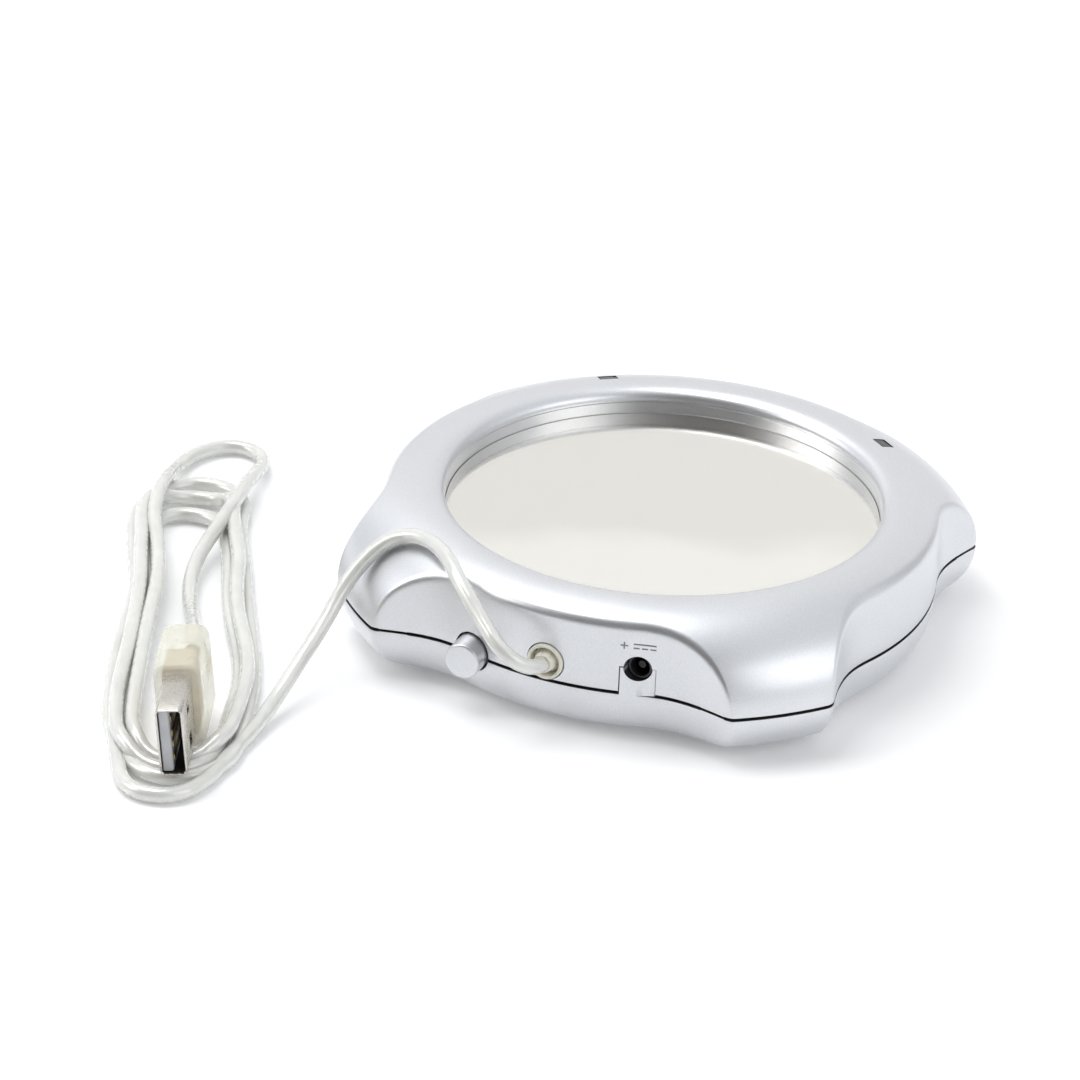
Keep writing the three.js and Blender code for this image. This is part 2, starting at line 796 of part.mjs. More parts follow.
function roundedBar(width, height, length, corner, bevel) {
  const [w, h] = [width / 2 - bevel, height / 2 - bevel];
  const r = corner - bevel;
  const shape = new THREE.Shape();
  shape.moveTo(-w + r, -h);
  shape.lineTo(w - r, -h);
  shape.absarc(w - r, -h + r, r, -Math.PI / 2, 0, false);
  shape.absarc(w - r, h - r, r, 0, Math.PI / 2, false);
  shape.absarc(-w + r, h - r, r, Math.PI / 2, Math.PI, false);
  shape.absarc(-w + r, -h + r, r, Math.PI, 1.5 * Math.PI, false);
  const geometry = new THREE.ExtrudeGeometry(shape, {
    depth: length - 2 * bevel,
    curveSegments: 3,
    bevelEnabled: true,
    bevelThickness: bevel,
    bevelSize: bevel,
    bevelSegments: 2,
  });
  geometry.translate(0, 0, bevel);
  geometry.rotateX(Math.PI / 2);
  return solid(geometry);
}

function plugOvermould() {
  const grip = roundedBar(overmould.width, overmould.height, overmould.length, 2, 0.8);
  const boot = turnedAlongY([
    [0, 3],
    [3.2, 3],
    [3.2, -0.8],
    [1.9, -overmould.boot],
    [0, -overmould.boot],
  ], 0, 0, 16);
  return union(
    grip.translate([0, overmouldFront, 0]),
    boot.translate([0, overmouldBack, 0]),
  );
}

function plugShellTube() {
  const [w, h] = [plugShell.width / 2, plugShell.height / 2];
  const inside = plugShell.wall;
  const latches = [-3.1, 3.1].map((z) => block([-w - 1, -8.2, z - 1.25], [w + 1, -5.7, z + 1.25]));
  return cut(
    block([-w, -plugShell.length, -h], [w, 0, h]),
    block([-w + inside, -plugShell.length + 0.5, -h + inside], [w - inside, 1, h - inside]),
    ...latches,
  );
}

const tongueSide = plugShell.width / 2 - plugShell.wall - 0.25;
const tongueThickness = 1.6;

function plugTongue() {
  return block(
    [tongueSide - tongueThickness, -plugShell.length + 0.8, -5.4],
    [tongueSide, -0.6, 5.4],
  );
}

function plugContact(z) {
  const face = tongueSide - tongueThickness - 0.05;
  return block([face - 0.15, -9.6, z - 0.5], [face, -1.6, z + 0.5]);
}

// ---------------------------------------------------------------- assembly

const warmer = new THREE.Group();
warmer.position.y = buttonProtrusion / 2;

function add(name, piece, material) {
  const mesh = new THREE.Mesh(toGeometry(piece), material);
  mesh.name = name;
  warmer.add(mesh);
}

add('top_shell', topShell(), silverPaint);
add('bottom_shell', bottomShell(), silverPaint);
add('heating_plate', heatingPlate(), polishedSteel);
add('plate_gasket', ring(gasketInner, gasketOuter, gasketBottom, gasketTop), whiteSilicone);
add('heater_element', pillar(heaterRadius, 0, 0, heaterBottom, gasketTop, 36), heaterFilm);
add('insulation_pad', insulationPad(), feltPad);
add('heater_retainer', heaterRetainer(), amberPlastic);
retainerScrewAngles.forEach((degrees, i) => {
  const [x, y] = polar(retainerScrewRadius, degrees);
  add(`retainer_screw_${i + 1}`, screw(x, y, 19.6, retainerBottom - gap - 1.5, 2, 0.8), screwSteel);
});
add('thermostat', pillar(5, 0, 0, retainerBottom - gap - 3.8, retainerBottom - gap, 32), blackPlastic);

add('circuit_board', circuitBoard(), greenBoard);
[1, -1].forEach((side, i) => {
  add(`board_screw_${i + 1}`, screw(side * boardScrewX, boardScrewY, 2.7, 7.3, 2, 0.8), screwSteel);
});
add('switch_body', switchBody(), blackPlastic);
add(
  'switch_plunger',
  rod(plungerRadius, [button.x, capBack + gap, button.z], [button.x, plungerEnd, button.z]),
  tongueWhite,
);
add('button_cap', buttonCap(), silverPaint);
add('dc_jack_body', inletBody(), blackPlastic);
add('dc_jack_pin', inletPin(), contactGold);

for (const side of ['left', 'right']) {
  add(`led_lamp_${side}`, ledLamp(side), ledResin);
  add(`led_window_${side}`, ledWindow(side), smokedLens);
}

add('strain_relief', strainRelief(), creamVinyl);
add('cable_clamp', cableClamp(), blackPlastic);
[1, -1].forEach((side, i) => {
  add(`clamp_screw_${i + 1}`, screw(side * clampX, clampY, 6.5, 16.9, 1.7, 0.7), screwSteel);
});
add('inner_cable', innerCable(), clearVinyl);
add('supply_lead_red', supplyLead(-1), redVinyl);
add('supply_lead_black', supplyLead(1), blackVinyl);
add('heater_lead_red', heaterLead('red'), redVinyl);
add('heater_lead_black', heaterLead('black'), blackVinyl);

diagonals.forEach((degrees, i) => {
  const [x, y] = polar(caseScrewRadius, degrees);
  const [footX, footY] = polar(footPlace, degrees);
  add(`case_screw_${i + 1}`, screw(x, y, 15.5, 2, 2.5, 1.3), screwSteel);
  add(`foot_${i + 1}`, pillar(footRadius, footX, footY, 0, footHeight + 0.3, 24), greyRubber);
});

add('usb_cable', lead(cableRoute, cableRadius, 8, 40), clearVinyl);
add('cable_hank', cableHank(), clearVinyl);
add('plug_overmould', placePlug(plugOvermould()), creamVinyl);
add('plug_shell', placePlug(plugShellTube()), polishedSteel);
add('plug_tongue', placePlug(plugTongue()), tongueWhite);
[-3.5, -1, 1, 3.5].forEach((z, i) => {
  add(`plug_contact_${i + 1}`, placePlug(plugContact(z)), contactGold);
});

export default warmer;
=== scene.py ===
"""A silver USB cup warmer with its clear lead folded in a hank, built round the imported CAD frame.

Shapes are worked out in millimetres from the axis of the well and turned into metres in the row frame by
place(). The places of the button, gland, inlet, windows, feet, screws and plug are read from the frame.
"""

import json
import math

import bmesh
import bpy
import numpy as np
from mathutils import Matrix, Vector


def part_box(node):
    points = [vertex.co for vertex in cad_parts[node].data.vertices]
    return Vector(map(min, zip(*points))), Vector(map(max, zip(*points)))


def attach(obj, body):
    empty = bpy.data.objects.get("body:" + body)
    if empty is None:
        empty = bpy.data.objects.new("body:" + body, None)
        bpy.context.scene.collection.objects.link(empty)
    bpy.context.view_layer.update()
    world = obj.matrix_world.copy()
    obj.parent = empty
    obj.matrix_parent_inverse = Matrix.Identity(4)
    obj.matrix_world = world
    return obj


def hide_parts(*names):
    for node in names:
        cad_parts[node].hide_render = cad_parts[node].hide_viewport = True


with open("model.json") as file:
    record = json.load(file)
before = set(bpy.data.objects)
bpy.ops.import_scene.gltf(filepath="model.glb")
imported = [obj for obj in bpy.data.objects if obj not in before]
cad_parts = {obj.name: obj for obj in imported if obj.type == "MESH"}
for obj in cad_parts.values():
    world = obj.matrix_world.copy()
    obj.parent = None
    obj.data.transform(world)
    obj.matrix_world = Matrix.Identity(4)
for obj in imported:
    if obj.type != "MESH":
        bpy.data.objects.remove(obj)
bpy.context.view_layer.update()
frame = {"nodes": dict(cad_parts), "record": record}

MM = 0.001


def middle_of(node):
    low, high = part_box(node)
    return (low + high) / 2


def add_to_scene(name, data):
    made = bpy.data.objects.new(name, data)
    bpy.context.scene.collection.objects.link(made)
    return made


AXIS = Vector((middle_of("heating_plate").x, middle_of("heating_plate").y, 0))


def seen_from_axis(node):
    """The middle of a CAD node in millimetres from the axis of the well."""
    return (middle_of(node) - AXIS) / MM


def place(points):
    """Millimetres from the axis of the well, as metres in the row frame."""
    return np.asarray(points, float) * MM + np.array(AXIS)


# ---------------- driving dimensions, in millimetres

WELL_RADIUS = 37.5
BODY_RADIUS = 47.7
WING_RADIUS = 56.4
WING_HALF_ANGLE = 9.5
FLARE_ANGLE = 27
FLARE_POWER = 2.55
WALL = 2.0

SEAM_TOP = 9.3
SEAM_BOTTOM = 8.9
FLOOR = 1.2
FLOOR_TOP = FLOOR + WALL
PLATE_TOP = (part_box("heating_plate")[1].z) / MM
RIM_HEIGHT = 23.7
RIM_ROLL = 2.0
SHOULDER = WELL_RADIUS + 3.0
SQUARENESS = 1.8
FLOOR_BODY = BODY_RADIUS - 3.5
FLOOR_WING = WING_RADIUS - 6.8

BUTTON = seen_from_axis("button_cap")
GLAND = seen_from_axis("strain_relief")
INLET = seen_from_axis("dc_jack_pin")
BUTTON_FACE = (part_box("button_cap")[0].y - AXIS.y) / MM
GLAND_FACE = -BODY_RADIUS - 0.5
STUB = 0.8
GLAND_BORE = 2.45
FLANGE_FRONT = -45.1
FLANGE_BACK = -43.6
STUB_BACK = -39.5
BUTTON_RADIUS = 3.12
BUTTON_HOLE = 3.5
GLAND_HOLE = 3.4
INLET_HOLE = 2.3
IN_FRONT = -60.0
BEHIND_WALL = -40.0
BEHIND_LIP = -36.0

CORD_RADIUS = 1.35
BRAID_RADIUS = 1.25

# ---------------- camera

CAMERA_TARGET = (-22.63, 0.0, 7.745)
CAMERA_DISTANCE = 1156.8
CAMERA_AZIMUTH = math.radians(23.40)
CAMERA_ELEVATION = math.radians(27.42)
CAMERA_ROLL = math.radians(2.68)
CAMERA_LENS = 222.2


def add_camera():
    data = bpy.data.cameras.new("camera")
    data.sensor_width = 36
    data.lens = CAMERA_LENS
    data.clip_end = 20
    camera = add_to_scene("camera", data)
    back = Vector((
        math.sin(CAMERA_AZIMUTH) * math.cos(CAMERA_ELEVATION),
        -math.cos(CAMERA_AZIMUTH) * math.cos(CAMERA_ELEVATION),
        math.sin(CAMERA_ELEVATION),
    ))
    right = Vector((math.cos(CAMERA_AZIMUTH), math.sin(CAMERA_AZIMUTH), 0))
    up = back.cross(right)
    rolled_right = right * math.cos(CAMERA_ROLL) + up * math.sin(CAMERA_ROLL)
    rolled_up = up * math.cos(CAMERA_ROLL) - right * math.sin(CAMERA_ROLL)
    axes = Matrix((rolled_right, rolled_up, back)).transposed().to_4x4()
    where = Vector(place(CAMERA_TARGET)) + back * CAMERA_DISTANCE * MM
    camera.matrix_world = Matrix.Translation(where) @ axes
    bpy.context.scene.camera = camera


add_camera()

# ---------------- materials


class Finish:
    """A material with one Principled shader. settings are socket names and the values they keep."""

    def __init__(self, name, colour, roughness, metallic=0.0, **settings):
        self.material = bpy.data.materials.new(name)
        self.material.use_nodes = True
        self.nodes = self.material.node_tree.nodes
        self.links = self.material.node_tree.links
        self.shader = self.nodes["Principled BSDF"]
        self.set("Base Color", (*colour, 1))
        self.set("Roughness", roughness)
        self.set("Metallic", metallic)
        for socket, value in settings.items():
            self.set(socket.replace("_", " "), value)

    def set(self, socket, value):
        self.shader.inputs[socket].default_value = value

    def coordinates(self, kind="Object", stretch=(1, 1, 1), turn=(0, 0, 0)):
        where = self.nodes.new("ShaderNodeTexCoord")
        mapping = self.nodes.new("ShaderNodeMapping")
        mapping.inputs["Scale"].default_value = stretch
        mapping.inputs["Rotation"].default_value = turn
        self.links.new(where.outputs[kind], mapping.inputs["Vector"])
        return mapping.outputs["Vector"]

    def noise(self, scale, detail=3.0, kind="Object", stretch=(1, 1, 1), turn=(0, 0, 0)):
        """Noise whose grain is about 1 / scale metres across."""
        texture = self.nodes.new("ShaderNodeTexNoise")
        texture.inputs["Scale"].default_value = scale
        texture.inputs["Detail"].default_value = detail
        self.links.new(self.coordinates(kind, stretch, turn), texture.inputs["Vector"])
        return texture.outputs["Fac"]

    def waves(self, distortion, stretch):
        """Slanting bands, repeated as stretch says along and round the UV map."""
        texture = self.nodes.new("ShaderNodeTexWave")
        texture.inputs["Scale"].default_value = 1
        texture.inputs["Distortion"].default_value = distortion
        texture.bands_direction = "DIAGONAL"
        self.links.new(self.coordinates("UV", stretch), texture.inputs["Vector"])
        return texture.outputs["Fac"]

    def spread(self, source, low, high, start=0.3, end=0.7):
        """Maps a pattern's values between start and end onto low to high."""
        node = self.nodes.new("ShaderNodeMapRange")
        for socket, value in (("From Min", start), ("From Max", end), ("To Min", low), ("To Max", high)):
            node.inputs[socket].default_value = value
        self.links.new(source, node.inputs["Value"])
        return node.outputs["Result"]

    def combine(self, first, second, operation="MAXIMUM"):
        node = self.nodes.new("ShaderNodeMath")
        node.operation = operation
        self.links.new(first, node.inputs[0])
        self.links.new(second, node.inputs[1])
        return node.outputs["Value"]

    def vary(self, socket, source, low, high, start=0.3, end=0.7):
        self.links.new(self.spread(source, low, high, start, end), self.shader.inputs[socket])

    def tint(self, source, colour, other, start=0.3, end=0.7):
        """Colours the surface between two colours by a pattern."""
        mix = self.nodes.new("ShaderNodeMix")
        mix.data_type = "RGBA"
        mix.inputs[6].default_value = (*colour, 1)
        mix.inputs[7].default_value = (*other, 1)
        self.links.new(self.spread(source, 0, 1, start, end), mix.inputs[0])
        self.links.new(mix.outputs[2], self.shader.inputs["Base Color"])

    def bump(self, source, depth, strength=1.0):
        """Raises the surface by up to depth, in metres."""
        node = self.nodes.new("ShaderNodeBump")
        node.inputs["Strength"].default_value = strength
        node.inputs["Distance"].default_value = depth
        self.links.new(source, node.inputs["Height"])
        self.links.new(node.outputs["Normal"], self.shader.inputs["Normal"])


def moulded(name, colour, other, roughness, **settings):
    """Moulded plastic or rubber: faint mottling, uneven sheen and a fine moulding texture."""
    finish = Finish(name, colour, roughness, **settings)
    mottle = finish.noise(220, 4)
    finish.tint(mottle, colour, other)
    grain = finish.noise(2600, 3)
    finish.vary("Roughness", grain, roughness * 0.85, min(roughness * 1.2, 1))
    finish.bump(grain, 0.00002, 0.4)
    return finish


def silver_paint():
    finish = Finish("silver_lacquer", (0.70, 0.71, 0.73), 0.36, 0.78, Coat_Weight=0.18, Coat_Roughness=0.22)
    flakes = finish.noise(5200, 2)
    finish.tint(flakes, (0.665, 0.675, 0.70), (0.735, 0.745, 0.765), 0.35, 0.65)
    haze = finish.noise(60, 3)
    finish.vary("Roughness", haze, 0.33, 0.39)
    finish.bump(flakes, 0.000012, 0.25)
    return finish


BRUSHING_TURN = math.radians(-58)
# turn of the line across the plate where the painted reflection begins
PAINTED_REFLECTION_TURN = math.radians(23.40)


def polished_plate():
    """Polished steel with faint brushing, and a painted reflection: a lighter, warmer zone near its front,
    beyond a wavering line.
    """
    finish = Finish("polished_plate", (0.88, 0.86, 0.82), 0.1, 1.0)
    streaks = finish.noise(1, 4, stretch=(25, 1100, 25), turn=(0, 0, BRUSHING_TURN))
    split = finish.nodes.new("ShaderNodeSeparateXYZ")
    finish.links.new(finish.coordinates(turn=(0, 0, -PAINTED_REFLECTION_TURN)), split.inputs["Vector"])
    wander = finish.spread(finish.noise(45, 2), -0.004, 0.004)
    depth = finish.combine(split.outputs["Y"], wander, "ADD")
    # painted reflection: the plate's front is coloured lighter and warmer than the rest
    finish.tint(depth, (0.98, 0.965, 0.915), (0.865, 0.845, 0.80), -0.015, -0.007)
    finish.vary("Roughness", streaks, 0.08, 0.15)
    finish.bump(streaks, 0.000001, 0.15)
    return finish


def nickel():
    finish = Finish("plug_nickel", (0.62, 0.59, 0.55), 0.25, 1.0)
    rolled = finish.noise(1, 3, stretch=(400, 4000, 4000))
    finish.tint(finish.noise(300, 3), (0.56, 0.53, 0.49), (0.66, 0.63, 0.59))
    finish.vary("Roughness", rolled, 0.2, 0.36)
    finish.bump(rolled, 0.00001, 0.3)
    return finish


def zinc():
    finish = Finish("zinc_screw", (0.62, 0.63, 0.65), 0.35, 1.0)
    spots = finish.noise(900, 4)
    finish.tint(spots, (0.52, 0.53, 0.55), (0.70, 0.71, 0.72))
    finish.vary("Roughness", spots, 0.25, 0.5)
    finish.bump(spots, 0.00001, 0.4)
    return finish


def clear_jacket():
    """Clear vinyl, slightly milky, with faint ripples along its length."""
    clear = {"Alpha": 0.42, "Coat_Weight": 1.0, "Coat_Roughness": 0.04}
    finish = Finish("clear_jacket", (0.90, 0.90, 0.87), 0.08, **clear)
    ripple = finish.noise(1, 2, kind="UV", stretch=(160, 2, 1))
    finish.tint(ripple, (0.84, 0.84, 0.81), (0.96, 0.96, 0.93))
    finish.vary("Roughness", ripple, 0.06, 0.12)
    finish.bump(ripple, 0.00004, 0.25)
    return finish


def silver_braid():
    """Fine bright wires wound both ways round the conductors."""
    finish = Finish("silver_braid", (0.80, 0.80, 0.775), 0.24, 0.45, Coat_Weight=0.8, Coat_Roughness=0.05)
    bands_along = 560
    bands_round = 5.03
    one_way = finish.waves(0.6, (bands_along, bands_round, 1))
    other_way = finish.waves(0.6, (bands_along, -bands_round, 1))
    flecks = finish.noise(1, 2, kind="UV", stretch=(900, 7, 1))
    strands = finish.combine(finish.combine(one_way, other_way, "MULTIPLY"), flecks, "MULTIPLY")
    finish.tint(flecks, (0.76, 0.76, 0.73), (0.93, 0.93, 0.90), 0.3, 0.65)
    finish.vary("Roughness", flecks, 0.2, 0.34)
    finish.bump(strands, 0.00002, 0.12)
    return finish


def cream_vinyl():
    finish = Finish("cream_vinyl", (0.86, 0.83, 0.68), 0.28, Alpha=0.4, Coat_Weight=0.4, Coat_Roughness=0.12)
    cloud = finish.noise(260, 3)
    finish.tint(cloud, (0.82, 0.79, 0.62), (0.90, 0.88, 0.74))
    finish.vary("Roughness", finish.noise(500, 2), 0.26, 0.34)
    finish.bump(cloud, 0.00001, 0.2)
    return finish


FINISHES = {
    "silver_paint": silver_paint(),
    "polished_plate": polished_plate(),
    "screw_steel": zinc(),
    "plug_steel": nickel(),
    "cream_vinyl": cream_vinyl(),
    "clear_vinyl": clear_jacket(),
    "braid": silver_braid(),
    "black_plastic": moulded("black_moulding", (0.018, 0.018, 0.02), (0.03, 0.03, 0.033), 0.42),
    "smoked_lens": moulded("smoked_lens", (0.035, 0.035, 0.04), (0.06, 0.06, 0.065), 0.3),
    "led_resin": moulded("led_resin", (0.66, 0.10, 0.05), (0.78, 0.16, 0.08), 0.2, Transmission_Weight=0.3),
    "green_board": moulded("solder_mask", (0.03, 0.20, 0.08), (0.05, 0.27, 0.11), 0.4),
    "grey_rubber": moulded("foot_rubber", (0.085, 0.085, 0.09), (0.13, 0.13, 0.14), 0.75),
    "white_silicone": moulded("white_silicone", (0.76, 0.76, 0.74), (0.84, 0.84, 0.82), 0.55),
    "heater_film": moulded("heater_film", (0.42, 0.17, 0.04), (0.52, 0.22, 0.06), 0.4),
    "felt_pad": moulded("felt_pad", (0.60, 0.54, 0.42), (0.72, 0.66, 0.54), 0.95, Sheen_Weight=0.4),
    "amber_plastic": moulded("retainer_plastic", (0.22, 0.16, 0.08), (0.29, 0.21, 0.11), 0.5),
    "tongue_white": moulded("tongue_plastic", (0.52, 0.53, 0.55), (0.60, 0.61, 0.63), 0.4),
    "contact_gold": moulded("contact_gold", (0.50, 0.36, 0.15), (0.60, 0.45, 0.20), 0.3, metallic=1.0),
    "red_vinyl": moulded("red_lead", (0.50, 0.03, 0.03), (0.60, 0.05, 0.04), 0.4),
    "black_vinyl": moulded("black_lead", (0.02, 0.02, 0.02), (0.035, 0.035, 0.035), 0.4),
    "plug_inner": moulded("plug_inner_mould", (0.50, 0.43, 0.33), (0.60, 0.53, 0.43), 0.4),
    "gland_vinyl": moulded("gland_vinyl", (0.74, 0.72, 0.62), (0.82, 0.80, 0.70), 0.32, Coat_Weight=0.3),
    # near black steel: painted shade inside the plug's shell and on the inlet's pin
    "dark_steel": moulded("steel_in_painted_shade", (0.03, 0.028, 0.025), (0.06, 0.055, 0.05), 0.45, metallic=0.4),
    "print": moulded("grey_print", (0.16, 0.16, 0.17), (0.22, 0.22, 0.23), 0.5),
}

# ---------------- mesh helpers


def object_from(name, points, faces):
    mesh = bpy.data.meshes.new(name)
    mesh.from_pydata([tuple(point) for point in place(points)], [], faces)
    return add_to_scene(name, mesh)


def tidy(made, smooth_below=35):
    """Merges doubled points, turns every face outwards and shades it smooth below an edge angle."""
    work = bmesh.new()
    work.from_mesh(made.data)
    bmesh.ops.remove_doubles(work, verts=work.verts, dist=1e-7)
    bmesh.ops.dissolve_degenerate(work, edges=work.edges, dist=1e-7)
    bmesh.ops.recalc_face_normals(work, faces=work.faces)
    work.to_mesh(made.data)
    work.free()
    made.data.shade_smooth()
    made.data.set_sharp_from_angle(angle=math.radians(smooth_below))
    return made


def grid_faces(rows, columns, close_rows=False, close_columns=True, first=0):
    faces = []
    for i in range(rows if close_rows else rows - 1):
        for j in range(columns if close_columns else columns - 1):
            low, high = i * columns, (i + 1) % rows * columns
            beside = (j + 1) % columns
            faces.append(tuple(first + k for k in (low + j, low + beside, high + beside, high + j)))
    return faces


def paint(made, finish):
    made.data.materials.clear()
    made.data.materials.append(FINISHES[finish].material)


def finish_piece(made, slot, stands_for=(), finish=None, body="housing"):
    """Gives a piece its material, the slot's own unless finish names another, and rides it on a body."""
    paint(made, finish or slot)
    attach(made, body)
    if stands_for:
        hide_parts(*stands_for)
    return made


def round_corner(start, corner, end, t):
    """The curve from start to end that corner pulls on, as t goes from 0 to 1."""
    return (1 - t) ** 2 * start + 2 * t * (1 - t) * corner + t ** 2 * end


def rounded(profile, steps=5):
    """A profile of (radius, height, fillet), with each corner that has a fillet turned into a curve."""
    curve = []
    for i, (radius, height, fillet) in enumerate(profile):
        corner = np.array([radius, height], float)
        if fillet == 0 or i in (0, len(profile) - 1):
            curve.append(corner)
            continue
        before = np.array(profile[i - 1][:2], float) - corner
        after = np.array(profile[i + 1][:2], float) - corner
        start = corner + before / np.linalg.norm(before) * fillet
        end = corner + after / np.linalg.norm(after) * fillet
        curve += [round_corner(start, corner, end, t) for t in np.linspace(0, 1, steps + 1)]
    return np.array(curve)


def turned(name, profile, centre, steps=96, along="Z", ripple=None):
    """A rounded profile turned about a line through centre, along Z or along Y. ripple scales the radius."""
    curve = rounded(profile)
    angles = np.arange(steps) * 2 * math.pi / steps
    swell = np.ones(steps) if ripple is None else np.array([ripple(angle) for angle in angles])
    points = []
    for radius, height in curve:
        across = radius * swell * np.cos(angles)
        upward = radius * swell * np.sin(angles)
        level = np.full(steps, height)
        ring = (across, upward, level) if along == "Z" else (across, level, upward)
        points.append(np.stack(ring, axis=1))
    offset = np.array([centre[0], centre[1], 0]) if along == "Z" else np.array([centre[0], 0, centre[2]])
    closed = np.allclose(curve[0], curve[-1])
    rows = len(curve) - 1 if closed else len(curve)
    points = np.concatenate(points[:rows]) + offset
    made = object_from(name, points, grid_faces(rows, steps, close_rows=closed))
    return tidy(made)


def cutter_rod(radius, start, end, steps=64):
    """A closed round bar between two points, for cutting."""
    start, end = np.array(start, float), np.array(end, float)
    along = (end - start) / np.linalg.norm(end - start)
    side = np.cross(along, (0.31, 0.52, 0.79))
    side /= np.linalg.norm(side)
    other = np.cross(along, side)
    angles = np.arange(steps) * 2 * math.pi / steps
    ring = radius * (np.cos(angles)[:, None] * side + np.sin(angles)[:, None] * other)
    points = np.concatenate([start + ring, end + ring])
    faces = grid_faces(2, steps)
    faces.append(tuple(range(steps))[::-1])
    faces.append(tuple(range(steps, 2 * steps)))
    return points, faces


def cutter_box(low, high, turn=0.0, centre=(0, 0)):
    corners = [(x, y, z) for z in (low[2], high[2]) for y in (low[1], high[1]) for x in (low[0], high[0])]
    points = np.array(corners, float)
    c, s = math.cos(turn), math.sin(turn)
    x, y = points[:, 0].copy(), points[:, 1].copy()
    points[:, 0] = centre[0] + x * c - y * s
    points[:, 1] = centre[1] + x * s + y * c
    faces = [(0, 2, 3, 1), (4, 5, 7, 6), (0, 1, 5, 4), (2, 6, 7, 3), (0, 4, 6, 2), (1, 3, 7, 5)]
    return points, faces


def together(solids):
    """Several (points, faces) as one."""
    points, faces = [], []
    for solid_points, solid_faces in solids:
        first = sum(len(p) for p in points)
        points.append(solid_points)
        faces += [tuple(first + k for k in face) for face in solid_faces]
    return np.concatenate(points), faces


def combine(body, tools, operation="DIFFERENCE"):
    """Cuts the tools, which don't overlap each other, from body, or joins them to it."""
    tool = tidy(object_from("tool", *together(tools)))
    modifier = body.modifiers.new("combine", "BOOLEAN")
    modifier.operation = operation
    modifier.solver = "MANIFOLD"
    modifier.object = tool
    graph = bpy.context.evaluated_depsgraph_get()
    result = bpy.data.meshes.new_from_object(body.evaluated_get(graph))
    body.modifiers.clear()
    body.data = result
    bpy.data.objects.remove(tool)
    return body


# ---------------- plan and dome of the housing


def plan_radius(degrees, body, wing):
    from_diagonal = abs((degrees % 90) - 45)
    flare = (FLARE_ANGLE - from_diagonal) / (FLARE_ANGLE - WING_HALF_ANGLE)
    return body + (wing - body) * min(max(flare, 0), 1) ** FLARE_POWER


def soft_plan_radius(degrees, body, wing):
    """The plan's radius with its corners rounded off over a degree or so."""
    reach = np.linspace(-0.9, 0.9, 9)
    return float(np.mean([plan_radius(degrees + offset, body, wing) for offset in reach]))


def dome_height(radius, inset=0.0):
    share = np.clip((radius - SHOULDER) / (WING_RADIUS - inset - SHOULDER), 0, 1)
    return SEAM_TOP + (RIM_HEIGHT - inset - SEAM_TOP) * np.sqrt(1 - share ** SQUARENESS)


def even_points(curve, count):
    steps = np.linalg.norm(np.diff(curve, axis=0), axis=1)
    reach = np.concatenate([[0], np.cumsum(steps)])
    wanted = np.linspace(0, reach[-1], count)
    return np.stack([np.interp(wanted, reach, curve[:, i]) for i in range(curve.shape[1])], axis=1)


def dome_curve(radius):
    """The dome from its edge at a plan radius in to the shoulder round the well, as (radius, height)."""
    share = min((radius - SHOULDER) / (WING_RADIUS - SHOULDER), 1)
    start = math.acos(share ** (SQUARENESS / 2))
    angles = np.linspace(start, math.pi / 2, 120)
    reach = np.maximum(np.cos(angles), 0) ** (2 / SQUARENESS)
    radii = SHOULDER + (WING_RADIUS - SHOULDER) * reach
    return np.stack([radii, dome_height(radii)], axis=1)


CREASE = 1.5
EDGE = 0.12
LEAST_WALL = 0.3
WELL_FOOT = PLATE_TOP - 0.32
COLUMNS = 600


def top_profile(radius):
    """A closed loop of (radius, height) through one side of the top shell."""
    dome = dome_curve(radius)
    dome = dome[dome[:, 1] > SEAM_TOP + LEAST_WALL]
    top = max(float(dome_height(radius)), SEAM_TOP + LEAST_WALL)
    corner = np.array([radius, top])
    size = min(CREASE, 0.45 * (top - SEAM_TOP))
    away = np.linalg.norm(dome - corner, axis=1)
    dome = dome[away > size]
    foot = np.array([radius, top - size])
    bevel = 0.3 * EDGE
    edge = [(radius - EDGE, SEAM_TOP), (radius - bevel, SEAM_TOP + bevel), (radius, SEAM_TOP + EDGE)]
    wall = even_points(np.array([edge[-1], foot]), 7)[1:-1]
    crease = round_corner(foot, corner, dome[0], np.linspace(0, 1, 9)[:, None])
    slope = even_points(dome, 30)[1:]
    roll = np.linspace(0, math.pi / 2, 11)[1:]
    rim = np.stack([
        SHOULDER - (SHOULDER - WELL_RADIUS) * np.sin(roll),
        RIM_HEIGHT - RIM_ROLL + RIM_ROLL * np.cos(roll),
    ], axis=1)
    ledge = RIM_HEIGHT - RIM_ROLL - 0.25
    well = [
        (WELL_RADIUS, ledge + 0.03),
        (WELL_RADIUS + 0.06, ledge),
        (WELL_RADIUS + 0.02, ledge - 0.05),
        (WELL_RADIUS - 0.06, ledge - 0.07),
        (WELL_RADIUS - 0.06, WELL_FOOT + 0.1),
        (WELL_RADIUS + 0.1, WELL_FOOT),
        (WELL_RADIUS + WALL, WELL_FOOT),
        (WELL_RADIUS + WALL, RIM_HEIGHT - WALL),
    ]
    inner = radius - WALL
    radii = np.linspace(SHOULDER + 0.5, inner, 10)
    heights = np.maximum(dome_height(radii, WALL), SEAM_TOP + LEAST_WALL)
    roof = np.stack([radii, heights], axis=1)
    return np.vstack([edge, wall, crease, slope, rim, well, roof, [(inner, SEAM_TOP)]])


def ring_of_profiles(name, profile_at, close_rows=True):
    """A ring skinned over profiles. profile_at gives the (radius, height) points at an angle in degrees."""
    profiles = np.array([profile_at(360 * j / COLUMNS) for j in range(COLUMNS)])
    angles = np.radians(360 * np.arange(COLUMNS) / COLUMNS)
    radii, heights = profiles[:, :, 0].T, profiles[:, :, 1].T
    points = np.stack([radii * np.cos(angles), radii * np.sin(angles), heights], axis=2)
    faces = grid_faces(len(points), COLUMNS, close_rows=close_rows)
    return object_from(name, points.reshape(-1, 3), faces)


